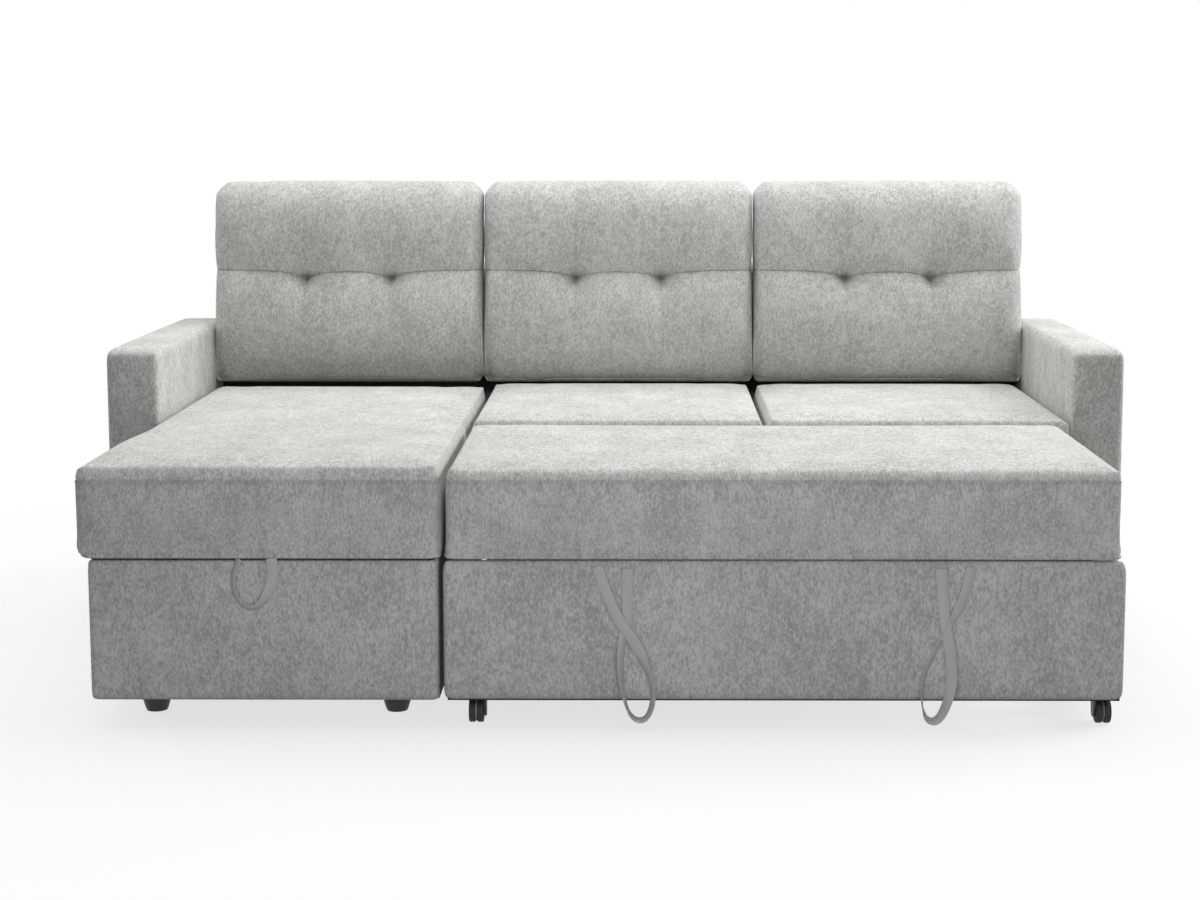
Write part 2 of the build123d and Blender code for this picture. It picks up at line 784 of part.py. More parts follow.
with BuildPart() as caster_bracket:
    plate_low = rail_bottom - caster_plate
    plate_half = wheel_radius * 0.7
    cheek_x = wheel_width + caster_gap
    block(0, cheek_x + caster_cheek, -plate_half, plate_half, plate_low, rail_bottom)
    with BuildSketch(Plane.YZ.offset(cheek_x)):
        with BuildLine():
            Polyline(
                (-wheel_radius / 2, wheel_radius),
                (-wheel_radius * 0.7, plate_low),
                (wheel_radius * 0.7, plate_low),
                (wheel_radius / 2, wheel_radius),
            )
            cheek_half = wheel_radius / 2
            ThreePointArc((cheek_half, wheel_radius), (0, cheek_half), (-cheek_half, wheel_radius))
        make_face()
        with Locations((0, wheel_radius)):
            Circle(axle_radius + seating_gap / 2, mode=Mode.SUBTRACT)
    extrude(amount=caster_cheek)

with BuildPart() as axle:
    with BuildSketch(Plane.YZ):
        with Locations((0, wheel_radius)):
            Circle(axle_radius)
    extrude(amount=wheel_width + caster_gap + caster_cheek)

with BuildPart() as wheel:
    with BuildSketch(Plane.XZ) as wheel_section:
        with BuildLine():
            Polyline(
                (0, wheel_radius + axle_radius + axle_clearance),
                (0, 2 * wheel_radius),
                ((wheel_width - wheel_groove) / 2, 2 * wheel_radius),
                ((wheel_width - wheel_groove) / 2, 2 * wheel_radius - wheel_groove_depth),
                ((wheel_width + wheel_groove) / 2, 2 * wheel_radius - wheel_groove_depth),
                ((wheel_width + wheel_groove) / 2, 2 * wheel_radius),
                (wheel_width, 2 * wheel_radius),
                (wheel_width, wheel_radius + axle_radius + axle_clearance),
                close=True,
            )
        make_face()
        fillet(wheel_section.vertices().group_by(Axis.Y)[-1], wheel_groove * 0.8)
    revolve(axis=Axis((0, 0, wheel_radius), (1, 0, 0)))

caster_left_x = left_rail_x + 2.0
caster_right_x = right_rail_x + rail_width - 2.0
right_caster_bracket = mirror(caster_bracket.part, about=Plane.YZ, mode=Mode.PRIVATE)
right_axle = mirror(axle.part, about=Plane.YZ, mode=Mode.PRIVATE)
right_wheel = mirror(wheel.part, about=Plane.YZ, mode=Mode.PRIVATE)

with BuildPart() as caster_brackets:
    for place_y in caster_places.values():
        with Locations((caster_left_x, place_y, 0)):
            add(caster_bracket.part)
        with Locations((caster_right_x, place_y, 0)):
            add(right_caster_bracket)
save(caster_brackets.part, "caster_brackets")

with BuildPart() as caster_axles:
    for place_y in caster_places.values():
        with Locations((caster_left_x, place_y, 0)):
            add(axle.part)
        with Locations((caster_right_x, place_y, 0)):
            add(right_axle)
save(caster_axles.part, "caster_axles")

for place, place_y in caster_places.items():
    for side, low_x, shape in (("left", caster_left_x, wheel.part), ("right", caster_right_x, right_wheel)):
        with BuildPart() as placed_wheel:
            with Locations((low_x, place_y, 0)):
                add(shape)
        save(placed_wheel.part, f"wheel_{place}_{side}")

# Guide runners that keep the carriage straight under the seat

with BuildPart() as guide_runners:
    guide_low = floor_gap + 2.0
    guide_rear = pivot_y
    block(chaise_right, left_rail_x - guide_gap, guide_front, guide_rear, guide_low, guide_low + guide_height)
    right_guide = carriage_right + guide_gap
    block(right_guide, arm_inner, guide_front, seat_frame_rear, guide_low, guide_low + guide_height)
    guide_ends = guide_runners.edges().filter_by(Axis.Z).group_by(Axis.Y)[0]
    fillet(guide_ends, guide_height / 3)
save(guide_runners.part, "guide_runners")

# Swing-arm lift: flat bars from the rails up to the mattress platform


def lift_arm(name, low_x, lower_y, lower_hole):
    """A flat bar from its lower pivot, leaning forward past upright to its upper pivot."""
    upper_y = lower_y - lift_set_back
    middle = ((lower_y + upper_y) / 2, (lift_lower_z + lift_upper_z) / 2)
    with BuildPart() as bar:
        with BuildSketch(Plane.YZ.offset(low_x)):
            with Locations(middle):
                SlotCenterToCenter(lift_length, lift_bar_width, rotation=90 + lift_lean)
            with Locations((lower_y, lift_lower_z)):
                Circle(lift_boss_radius)
                Circle(lower_hole, mode=Mode.SUBTRACT)
            with Locations((upper_y, lift_upper_z)):
                Circle(lift_pin_radius + lift_pin_clearance, mode=Mode.SUBTRACT)
        extrude(amount=lift_bar)
    save(bar.part, name)


for side, low_x in (("left", left_bar_x), ("right", right_bar_x)):
    lift_arm(f"front_arm_{side}", low_x, front_lower_y, shaft_radius + seating_gap / 4)
    lift_arm(f"rear_arm_{side}", low_x, rear_lower_y, lift_pin_radius + lift_pin_clearance)


def turned(at_y, at_z, steps):
    """A turned pin along X: each step is its start, its end and its radius."""
    for start, end, radius in steps:
        with Locations(((start + end) / 2, at_y, at_z)):
            Cylinder(radius, end - start, rotation=(0, 90, 0))


# The front arms share one shaft; a collar keeps each arm off its rail
collar = rail_to_bar - stop_gap
with BuildPart() as front_shaft:
    turned(
        front_lower_y,
        lift_lower_z,
        (
            (carriage_left - lift_head, carriage_right + lift_head, shaft_radius),
            (left_bar_x - collar, left_bar_x, shaft_radius + rail_to_bar),
            (right_bar_x + lift_bar, right_bar_x + lift_bar + collar, shaft_radius + rail_to_bar),
        ),
    )
save(front_shaft.part, "front_shaft")

# Each rear arm turns on its own pin, fixed in the rail
pin_head_gap = 0.5
with BuildPart() as rear_pivot_pins:
    left_rail_inner = left_rail_x + rail_width
    left_bar_inner = left_bar_x + lift_bar
    turned(
        rear_lower_y,
        lift_lower_z,
        (
            (left_rail_x, left_bar_inner + pin_head_gap, lift_pin_radius),
            (left_rail_inner, left_bar_x - pin_head_gap, lift_head_radius),
            (left_bar_inner + pin_head_gap, left_bar_inner + pin_head_gap + lift_head, lift_head_radius),
        ),
    )
    turned(
        rear_lower_y,
        lift_lower_z,
        (
            (right_bar_x - pin_head_gap, carriage_right, lift_pin_radius),
            (right_bar_x + lift_bar + pin_head_gap, right_rail_x, lift_head_radius),
            (right_bar_x - pin_head_gap - lift_head, right_bar_x - pin_head_gap, lift_head_radius),
        ),
    )
save(rear_pivot_pins.part, "rear_pivot_pins")

# Stops on the rails, just ahead of the raised arms
stop_side = lift_bar_width / 2 + stop_radius + stop_gap
stop_forward = stop_reach * sin(radians(lift_lean)) + stop_side * cos(radians(lift_lean))
stop_z = lift_lower_z + stop_reach * cos(radians(lift_lean)) - stop_side * sin(radians(lift_lean))
stop_length = rail_to_bar + lift_bar - pin_head_gap
with BuildPart() as arm_stops:
    for lower_y in (front_lower_y, rear_lower_y):
        left_stop = left_rail_x + rail_width
        turned(lower_y - stop_forward, stop_z, ((left_stop, left_stop + stop_length, stop_radius),))
        turned(lower_y - stop_forward, stop_z, ((right_rail_x - stop_length, right_rail_x, stop_radius),))
save(arm_stops.part, "arm_stops")

# Platform: a frame with slats, hung between the arms on four pins

platform_width = platform_right - platform_left
platform_depth = platform_rear - platform_front
platform_middle_x = (platform_left + platform_right) / 2
platform_middle_y = (platform_front + platform_rear) / 2
pin_socket = platform_rail * 0.7

with BuildPart() as platform_frame:
    with BuildSketch(Plane.XY.offset(platform_bottom)):
        with Locations((platform_middle_x, platform_middle_y)):
            Rectangle(platform_width, platform_depth)
            bay_width = (platform_width - 3 * platform_rail) / 2
            with GridLocations(bay_width + platform_rail, 1, 2, 1):
                Rectangle(bay_width, platform_depth - 2 * platform_rail, mode=Mode.SUBTRACT)
    extrude(amount=platform_height)
    for socket_x in (platform_left, platform_right - pin_socket):
        with BuildSketch(Plane.YZ.offset(socket_x)):
            with Locations((front_upper_y, lift_upper_z), (rear_upper_y, lift_upper_z)):
                Circle(lift_pin_radius + seating_gap / 4)
        extrude(amount=pin_socket, mode=Mode.SUBTRACT)
save(platform_frame.part, "platform_frame")

with BuildPart() as platform_slats:
    with Locations((platform_middle_x, platform_middle_y, slat_bottom + slat_thickness / 2)):
        with GridLocations(platform_width / slat_count, 1, slat_count, 1):
            Box(slat_width, platform_depth, slat_thickness)
save(platform_slats.part, "platform_slats")

outer_head = lift_head - stop_gap
right_bar_outer = right_bar_x + lift_bar
right_pin_end = right_bar_outer + pin_head_gap + outer_head
with BuildPart() as platform_pins:
    for upper_y in (front_upper_y, rear_upper_y):
        turned(
            upper_y,
            lift_upper_z,
            (
                (left_bar_x - pin_head_gap, platform_left + pin_socket - pin_head_gap, lift_pin_radius),
                (left_bar_x - pin_head_gap - outer_head, left_bar_x - pin_head_gap, lift_head_radius),
                (left_bar_inner + pin_head_gap, platform_left, lift_head_radius),
            ),
        )
        turned(
            upper_y,
            lift_upper_z,
            (
                (platform_right - pin_socket + pin_head_gap, right_bar_outer + pin_head_gap, lift_pin_radius),
                (right_bar_outer + pin_head_gap, right_pin_end, lift_head_radius),
                (platform_right, right_bar_x - pin_head_gap, lift_head_radius),
            ),
        )
save(platform_pins.part, "platform_pins")

# Pull straps and the chaise loop: flat tape, sewn at both ends and crossed into a loop

strap_back = base_front - strap_thickness / 2 - 3 * seating_gap
strap_over = strap_back - 1.6 * strap_thickness


def make_strap(name, places):
    """Flat tape along straight runs joined by the largest arcs that fit."""
    route_points = [Vector(*place) for place in places]
    radii = []
    for before, here, after in zip(route_points, route_points[1:], route_points[2:]):
        turn = (here - before).get_angle(after - here)
        shorter = min((here - before).length, (after - here).length)
        radii.append(0.45 * shorter / tan(radians(turn / 2)))
    with BuildPart() as strap:
        with BuildLine() as route:
            FilletPolyline(*route_points, radius=radii)
        with BuildSketch(Plane(origin=route.line @ 0, x_dir=(0, 1, 0), z_dir=route.line % 0)):
            Rectangle(strap_thickness, strap_width)
        sweep()
    save(strap.part, name)
    print(name, "radii", [round(radius, 1) for radius in radii])
    swept = strap_width * strap_thickness * sum(edge.length for edge in route.edges())
    print(name, "volume over section times length", round(strap.part.volume / swept, 4))


def strap_point(x, y_share, z):
    """A place on a strap: y_share 0 lies on the panel, 1 lies over the other strand."""
    return (x, strap_back + y_share * (strap_over - strap_back), z)


make_strap(
    "pull_strap_left",
    (
        strap_point(-22.6, 0, panel_top - 9),
        strap_point(-12.0, 0.2, 262),
        strap_point(0.0, 0.6, 232.7),
        strap_point(17.4, 1, 192.3),
        strap_point(45.0, 1, 158.6),
        strap_point(62.0, 1, 120.4),
        strap_point(74.0, 1, 78),
        strap_point(72.0, 0.9, 45),
        strap_point(60.0, 0.7, 21),
        strap_point(44.0, 0.5, 19.5),
        strap_point(30.0, 0.3, 42.1),
        strap_point(20.5, 0.1, 90),
        strap_point(19.3, 0, 143.7),
        strap_point(30.0, 0, 190),
        strap_point(32.0, 0, 239),
        strap_point(30.4, 0, panel_top - 11),
    ),
)

make_strap(
    "pull_strap_right",
    (
        strap_point(581.8, 0, panel_top - 11),
        strap_point(585.0, 0.5, 239.7),
        strap_point(591.0, 1, 186),
        strap_point(601.5, 1, 136),
        strap_point(603.0, 1, 86),
        strap_point(594.0, 0.9, 46),
        strap_point(580.5, 0.7, 21),
        strap_point(564.0, 0.5, 19.5),
        strap_point(553.0, 0.3, 43),
        strap_point(551.8, 0.1, 80.9),
        strap_point(562.0, 0, 119.8),
        strap_point(586.0, 0, 163.4),
        strap_point(608.5, 0, 203.3),
        strap_point(628.6, 0, 254.6),
        strap_point(635.8, 0, panel_top - 9),
    ),
)

make_strap(
    "chaise_pull_loop",
    (
        strap_point(-651.8, 0, seat_bottom + 3),
        strap_point(-660.9, 0, 282),
        strap_point(-661.5, 0, 256),
        strap_point(-651.5, 0, 235),
        strap_point(-633.5, 0, 224),
        strap_point(-613.0, 0, 234),
        strap_point(-597.0, 0, 258.2),
        strap_point(-591.6, 0, 283),
        strap_point(-595.3, 0, seat_bottom + 3),
    ),
)
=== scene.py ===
"""Corner sofa bed: cushions, covers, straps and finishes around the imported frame."""

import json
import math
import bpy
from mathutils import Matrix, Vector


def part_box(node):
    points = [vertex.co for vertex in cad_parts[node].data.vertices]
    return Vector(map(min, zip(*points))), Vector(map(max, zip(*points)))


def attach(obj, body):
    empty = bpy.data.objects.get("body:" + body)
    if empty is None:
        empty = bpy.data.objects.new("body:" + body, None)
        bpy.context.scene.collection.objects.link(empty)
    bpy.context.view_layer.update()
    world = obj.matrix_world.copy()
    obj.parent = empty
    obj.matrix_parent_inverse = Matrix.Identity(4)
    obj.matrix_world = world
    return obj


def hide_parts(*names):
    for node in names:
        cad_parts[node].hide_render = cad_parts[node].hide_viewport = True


bl_info = {
    "name": "Corner Sofa Bed",
    "version": (1, 0, 0),
    "blender": (4, 5, 0),
    "location": "View3D > Sidebar > Sofa Bed",
    "description": "Cushions, covers, pull straps and finishes of a corner sofa bed",
    "category": "Object",
}

import bmesh
import bpy
import numpy as np
from mathutils import Vector

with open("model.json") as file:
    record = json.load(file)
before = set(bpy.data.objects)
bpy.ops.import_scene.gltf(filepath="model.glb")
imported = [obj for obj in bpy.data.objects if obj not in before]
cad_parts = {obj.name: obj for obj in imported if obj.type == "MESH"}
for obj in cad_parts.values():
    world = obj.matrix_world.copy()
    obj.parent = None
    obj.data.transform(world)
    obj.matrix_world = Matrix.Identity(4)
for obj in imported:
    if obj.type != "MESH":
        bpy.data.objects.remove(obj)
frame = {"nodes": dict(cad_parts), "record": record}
NODES = frame["nodes"]
SLOTS = {part["node"]: part["material_slot"] for part in frame["record"]["subparts"]}
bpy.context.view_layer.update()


def length(label, text, default):
    """A size in metres that a user may change."""
    return bpy.props.FloatProperty(name=label, description=text, default=default, unit="LENGTH", precision=4)


def number(label, text, default):
    """A plain number that a user may change."""
    return bpy.props.FloatProperty(name=label, description=text, default=default)


def colour(label, text, default):
    """A colour that a user may change."""
    return bpy.props.FloatVectorProperty(
        name=label, description=text, subtype="COLOR", size=3, default=default
    )


class SofaCloth(bpy.types.PropertyGroup):
    """Colours and scale of the chenille cover, the tape and the hidden frame."""

    pile: colour("Pile", "Light yarn of the chenille", (0.80, 0.803, 0.775))
    ground: colour("Ground", "Darker yarn between the pile", (0.46, 0.463, 0.44))
    tape: colour("Tape", "Pull strap tape", (0.95, 0.95, 0.93))
    wood: colour("Wood", "Pine of the frames", (0.6, 0.43, 0.26))
    plywood: colour("Plywood", "Plywood boards", (0.66, 0.5, 0.31))
    black: colour("Black", "Feet, wheels and painted steel", (0.016, 0.016, 0.016))
    yarns: number("Yarns", "Yarns of the chenille in a metre", 300.0)


class SofaShape(bpy.types.PropertyGroup):
    """Sizes of the sewn and padded work."""

    seat_voxel: length("Seat mesh", "Mesh size of a seat cushion before it swells", 0.013)
    back_voxel: length("Back mesh", "Mesh size of a back cushion before it swells", 0.009)
    cover_voxel: length("Cover mesh", "Mesh size of a padded cover", 0.012)
    swell: length("Swell", "Most that a cushion swells from its start", 0.010)
    slack: length("Slack", "How much smaller a cushion starts", 0.004)
    hem: length("Hem", "How far a cushion's border hangs below its underside", 0.0026)
    bed_hem: length("Bed hem", "The same for the mattress", 0.0036)
    bead: length("Bead", "How far a seam's edge stands proud", 0.0022)
    groove: length("Groove", "How deep a seam draws in", 0.0022)
    cover_puff: length("Cover puff", "Swell of the padded covers", 0.003)
    overhang: length("Overhang", "How far the chaise cushion hangs out at its front left", 0.016)
    seam_draw: length("Cross seam", "Depth of a back cushion's cross seam", 0.020)
    tuft_draw: length("Tuft", "Depth of a back cushion's tufts", 0.046)
    tuft_pit: length("Tuft pit", "Depth of the pit at a tuft's thread", 0.016)
    seam_dip: length("Dip", "How far a cross seam dips at a tuft", 0.020)
    plan_corner: length("Corner", "Corner radius of a seat cushion seen from above", 0.026)
    roll_front: length("Front roll", "How far in from its front a seat cushion's top rolls over", 0.040)
    roll_side: length("Side roll", "The same at a side that meets its neighbour", 0.032)
    roll_open: length("Open roll", "The same at a free side", 0.07)
    roll_rear: length("Rear roll", "The same at its rear", 0.022)
    crown_reach: length("Crown", "How far in from its edges a seat cushion's top still rises", 0.16)
    crown_lift: length("Crown lift", "How far a seat cushion's top stands above its foam", 0.011)
    bed_lift: length("Bed lift", "The same for the mattress", 0.006)
    crown_fall: length("Crown fall", "How far its top falls towards the edges", 0.004)
    seat_close: length("Seat close", "How far a seat cushion presses towards its neighbour", 0.002)
    back_close: length("Back close", "How far a back cushion presses past its own space at the sides", 0.0026)
    back_under: length("Back under", "How far a back cushion's front draws back at its bottom", 0.046)
    tape_width: length("Tape width", "Width of the pull straps", 0.0194)
    tape_thickness: length("Tape thickness", "Thickness of the pull straps", 0.0022)


class SofaStage(bpy.types.PropertyGroup):
    """Camera and light."""

    camera_place: bpy.props.FloatVectorProperty(
        name="Camera", description="Where the camera stands", subtype="XYZ", default=(0.0598, -4.313, 1.0601)
    )
    camera_pitch: bpy.props.FloatProperty(
        name="Pitch", description="How far the camera looks down", subtype="ANGLE", default=0.1273
    )
    camera_yaw: bpy.props.FloatProperty(
        name="Yaw", description="How far the camera turns to the left", subtype="ANGLE", default=0.0054
    )
    lens: number("Lens", "Focal length in millimetres", 63.0)
    shift: bpy.props.FloatVectorProperty(
        name="Shift", description="Picture shift of the lens", size=2, default=(-0.02725, -0.0454)
    )
    key_power: number("Key", "Power of the overhead light", 94.0)
    left_power: number("Left", "Power of the light at the left", 33.0)
    right_power: number("Right", "Power of the light at the right", 86.0)
    fill_power: number("Fill", "Power of the front light", 19.0)
    world_level: number("World", "Level of the light all round", 0.06)


# Small helpers


def only(piece):
    """Select one piece and make it active."""
    bpy.ops.object.select_all(action="DESELECT")
    piece.select_set(True)
    bpy.context.view_layer.objects.active = piece


def new_piece(name, mesh):
    """Put a mesh in the scene under a name."""
    piece = bpy.data.objects.new(name, mesh)
    bpy.context.scene.collection.objects.link(piece)
    only(piece)
    return piece


def node_copy(name, node):
    """A copy of a frame piece with its loose triangles merged."""
    mesh = bmesh.new()
    mesh.from_mesh(NODES[node].data)
    bmesh.ops.remove_doubles(mesh, verts=mesh.verts, dist=1e-5)
    data = bpy.data.meshes.new(name)
    mesh.to_mesh(data)
    mesh.free()
    return new_piece(name, data)


def hull_copy(name, node):
    """The outline of a frame piece as one closed hull."""
    piece = node_copy(name, node)
    bpy.ops.object.mode_set(mode="EDIT")
    bpy.ops.mesh.select_all(action="SELECT")
    bpy.ops.mesh.convex_hull()
    bpy.ops.object.mode_set(mode="OBJECT")
    return piece


def apply_modifier(piece, kind, **settings):
    """Add a modifier, set it and apply it."""
    only(piece)
    modifier = piece.modifiers.new(kind.lower(), kind)
    for key, value in settings.items():
        setattr(modifier, key, value)
    bpy.ops.object.modifier_apply(modifier=modifier.name)


def places(piece):
    """Every vertex place as an array."""
    spots = np.empty(len(piece.data.vertices) * 3)
    piece.data.vertices.foreach_get("co", spots)
    return spots.reshape(-1, 3)


def normals(piece):
    """Every vertex normal as an array."""
    ways = np.empty(len(piece.data.vertices) * 3)
    piece.data.vertices.foreach_get("normal", ways)
    return ways.reshape(-1, 3)


def put(piece, spots):
    """Move every vertex to its place in an array."""
    piece.data.vertices.foreach_set("co", np.ascontiguousarray(spots).ravel())
    piece.data.update()


def step(value, start, end):
    """Smooth rise from 0 at start to 1 at end."""
    share = np.clip((value - start) / (end - start), 0, 1)
    return share * share * (3 - 2 * share)


def round_edge(spots, axes, corner, radii):
    """Round the edge where two walls meet: points outside an ellipse go onto it; radii point inwards."""
    middles = [np.broadcast_to(place + radius, len(spots)) for place, radius in zip(corner, radii)]
    ways = [(middle - spots[:, axis]) / radius for axis, middle, radius in zip(axes, middles, radii)]
    reach = np.maximum(np.hypot(*ways), 1)
    out = (ways[0] > 0) & (ways[1] > 0)
    for axis, middle, radius, way in zip(axes, middles, radii, ways):
        spots[out, axis] = (middle - radius * way / reach)[out]


def fit_box(spots, low, high, axes):
    """Stretch places so that they fill a box along the named axes."""
    for axis in axes:
        first, last = spots[:, axis].min(), spots[:, axis].max()
        spots[:, axis] = low[axis] + (spots[:, axis] - first) * (high[axis] - low[axis]) / (last - first)


def swollen(piece, sewn, pressure, cap):
    """Swell a cover by cloth simulation; sewn is how far each point is held, cap the most it may move."""
    scene = bpy.context.scene
    start = places(piece)
    first_frame = 1
    last_frame = 20
    least_hold = 0.01
    held = piece.vertex_groups.new(name="sewn")
    for index in np.nonzero(sewn > least_hold)[0]:
        held.add([int(index)], float(sewn[index]), "REPLACE")
    only(piece)
    modifier = piece.modifiers.new("cloth", "CLOTH")
    cloth = modifier.settings
    cloth.quality = 4
    cloth.mass = 0.4
    cloth.tension_stiffness = 18
    cloth.compression_stiffness = 18
    cloth.shear_stiffness = 9
    cloth.bending_stiffness = 0.6
    cloth.use_pressure = True
    cloth.uniform_pressure_force = pressure
    cloth.vertex_group_mass = held.name
    cloth.effector_weights.gravity = 0
    modifier.collision_settings.use_collision = False
    modifier.point_cache.frame_start = first_frame
    modifier.point_cache.frame_end = last_frame
    for moment in range(first_frame, last_frame + 1):
        scene.frame_set(moment)
    bpy.ops.object.modifier_apply(modifier=modifier.name)
    scene.frame_set(first_frame)
    piece.vertex_groups.clear()
    move = places(piece) - start
    far = np.linalg.norm(move, axis=1)[:, None]
    put(piece, start + move * cap / (cap + far))


def sewn_line(piece, axis, level, profile, share):
    """Cut loops beside a seam and move them along the normal; profile holds (distance, move) pairs."""
    mesh = bmesh.new()
    mesh.from_mesh(piece.data)
    way = Vector((0, 0, 0))
    way[axis] = 1
    near = 0.0004
    for distance, _ in profile:
        everything = mesh.verts[:] + mesh.edges[:] + mesh.faces[:]
        place = way * (level + distance)
        bmesh.ops.bisect_plane(mesh, geom=everything, plane_co=place, plane_no=way, dist=near)
    mesh.normal_update()
    moves = []
    for vertex in mesh.verts:
        for distance, move in profile:
            if move and abs(vertex.co[axis] - level - distance) <= near:
                moves.append((vertex, vertex.normal * move * share(vertex.co, vertex.normal)))
    for vertex, move in moves:
        vertex.co += move
    mesh.to_mesh(piece.data)
    mesh.free()


def finish_piece(piece, body, slot, material, *nodes):
    """Give a finished piece its material, its body and the frame pieces that it stands for."""
    only(piece)
    bpy.ops.object.shade_smooth()
    piece.data.materials.clear()
    piece.data.materials.append(material)
    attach(piece, body)
    if nodes:
        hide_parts(*nodes)


# Materials


def node_tree(name):
    """A fresh material with its tree and shader."""
    material = bpy.data.materials.new(name)
    material.use_nodes = True
    tree = material.node_tree
    return material, tree, tree.nodes["Principled BSDF"]


def set_values(node, **values):
    """Set a node's settings and inputs by name."""
    for key, value in values.items():
        if hasattr(node, key):
            setattr(node, key, value)
        else:
            node.inputs[key.replace("_", " ")].default_value = value


def add(tree, kind, **values):
    """Add a node with its settings and inputs."""
    node = tree.nodes.new(kind)
    set_values(node, **values)
    return node


def stretched_noise(tree, vector, scale, detail, roughness=0.6):
    """Noise drawn out by a scale along each axis."""
    mapping = add(tree, "ShaderNodeMapping")
    mapping.inputs["Scale"].default_value = scale
    tree.links.new(vector, mapping.inputs["Vector"])
    noise = add(tree, "ShaderNodeTexNoise", Scale=1.0, Detail=detail, Roughness=roughness)
    tree.links.new(mapping.outputs[0], noise.inputs["Vector"])
    return noise.outputs[0]


def mixed(tree, factor, first, second):
    """Blend two values; factor is a socket or a number."""
    mix = add(tree, "ShaderNodeMix", data_type="FLOAT")
    for socket, value in ((mix.inputs[0], factor), (mix.inputs[2], first), (mix.inputs[3], second)):
        if isinstance(value, (int, float)):
            socket.default_value = value
        else:
            tree.links.new(value, socket)
    return mix.outputs[0]


def ramp_colours(tree, value, stops):
    """A colour ramp over a value; stops holds (place, colour) pairs."""
    ramp = add(tree, "ShaderNodeValToRGB")
    elements = ramp.color_ramp.elements
    while len(elements) < len(stops):
        elements.new(0.5)
    for element, (place, tone) in zip(elements, stops):
        element.position = place
        element.color = (*tone, 1)
    tree.links.new(value, ramp.inputs[0])
    return ramp.outputs[0]


def bumped(tree, shader, height, strength, distance):
    """Raise the surface by a height."""
    bump = add(tree, "ShaderNodeBump", Strength=strength, Distance=distance)
    tree.links.new(height, bump.inputs["Height"])
    tree.links.new(bump.outputs[0], shader.inputs["Normal"])


def shade(tone, share):
    """A colour made darker or lighter."""
    return tuple(min(1.0, part * share) for part in tone)


def seen_rays(tree, *kinds):
    """1 for rays of the named kinds, 0 for the rest."""
    ray = add(tree, "ShaderNodeLightPath")
    seen = ray.outputs[kinds[0]]
    for kind in kinds[1:]:
        either = add(tree, "ShaderNodeMath", operation="MAXIMUM")
        tree.links.new(seen, either.inputs[0])
        tree.links.new(ray.outputs[kind], either.inputs[1])
        seen = either.outputs[0]
    return seen


def chenille():
    """Light grey chenille: short mottled yarn that runs down the fronts and sides and back over the tops."""
    cloth = bpy.context.scene.sofa_cloth
    material, tree, shader = node_tree("chenille")
    link = tree.links.new
    place = add(tree, "ShaderNodeTexCoord")
    split = add(tree, "ShaderNodeSeparateXYZ")
    link(place.outputs["Normal"], split.inputs[0])
    sideways = add(tree, "ShaderNodeMath", operation="ABSOLUTE")
    link(split.outputs["X"], sideways.inputs[0])
    on_side = add(tree, "ShaderNodeMapRange", From_Min=0.55, From_Max=0.8)
    link(sideways.outputs[0], on_side.inputs["Value"])

    def yarn(wide, long, detail):
        """Yarn noise for the fronts and tops, switched for the sides."""
        front = stretched_noise(tree, place.outputs["Object"], (wide, long, long), detail)
        side = stretched_noise(tree, place.outputs["Object"], (long, wide, long), detail)
        return mixed(tree, on_side.outputs[0], front, side)

    fine = yarn(cloth.yarns, cloth.yarns * 0.5, 2.0)
    patch = yarn(cloth.yarns * 0.3, cloth.yarns * 0.17, 2.0)
    cloud = yarn(11.0, 8.0, 2.0)
    tone = mixed(tree, 0.3, fine, patch)
    tone = mixed(tree, 0.2, tone, cloud)
    stops = ((0.39, cloth.ground), (0.61, cloth.pile))
    link(ramp_colours(tree, tone, stops), shader.inputs["Base Color"])
    bumped(tree, shader, fine, strength=0.35, distance=0.0012)
    set_values(shader, Roughness=0.95, Specular_IOR_Level=0.1, Sheen_Weight=0.12, Sheen_Roughness=0.6)
    return material


def strap_tape():
    """Flat woven tape, read along its own UV map."""
    tone = bpy.context.scene.sofa_cloth.tape
    material, tree, shader = node_tree("strap_tape")
    place = add(tree, "ShaderNodeTexCoord")
    weave = stretched_noise(tree, place.outputs["UV"], (900, 700, 1), 2.0)
    stops = ((0.3, shade(tone, 0.78)), (0.65, tone))
    tree.links.new(ramp_colours(tree, weave, stops), shader.inputs["Base Color"])
    bumped(tree, shader, weave, strength=0.3, distance=0.0006)
    set_values(shader, Roughness=0.9, Specular_IOR_Level=0.15, Sheen_Weight=0.5)
    return material


def grained(name, tone, scale, spread):
    """Wood with grain drawn out along the sofa's width, and a slow change of colour."""
    material, tree, shader = node_tree(name)
    place = add(tree, "ShaderNodeTexCoord")
    grain = stretched_noise(tree, place.outputs["Object"], scale, 5.0, 0.7)
    slow = stretched_noise(tree, place.outputs["Object"], (5, 9, 9), 2.0)
    value = mixed(tree, 0.35, grain, slow)
    stops = ((0.35, shade(tone, 1 - spread)), (0.52, tone), (0.68, shade(tone, 1 + spread * 0.6)))
    tree.links.new(ramp_colours(tree, value, stops), shader.inputs["Base Color"])
    bumped(tree, shader, grain, strength=0.2, distance=0.0006)
    set_values(shader, Roughness=0.7)
    return material


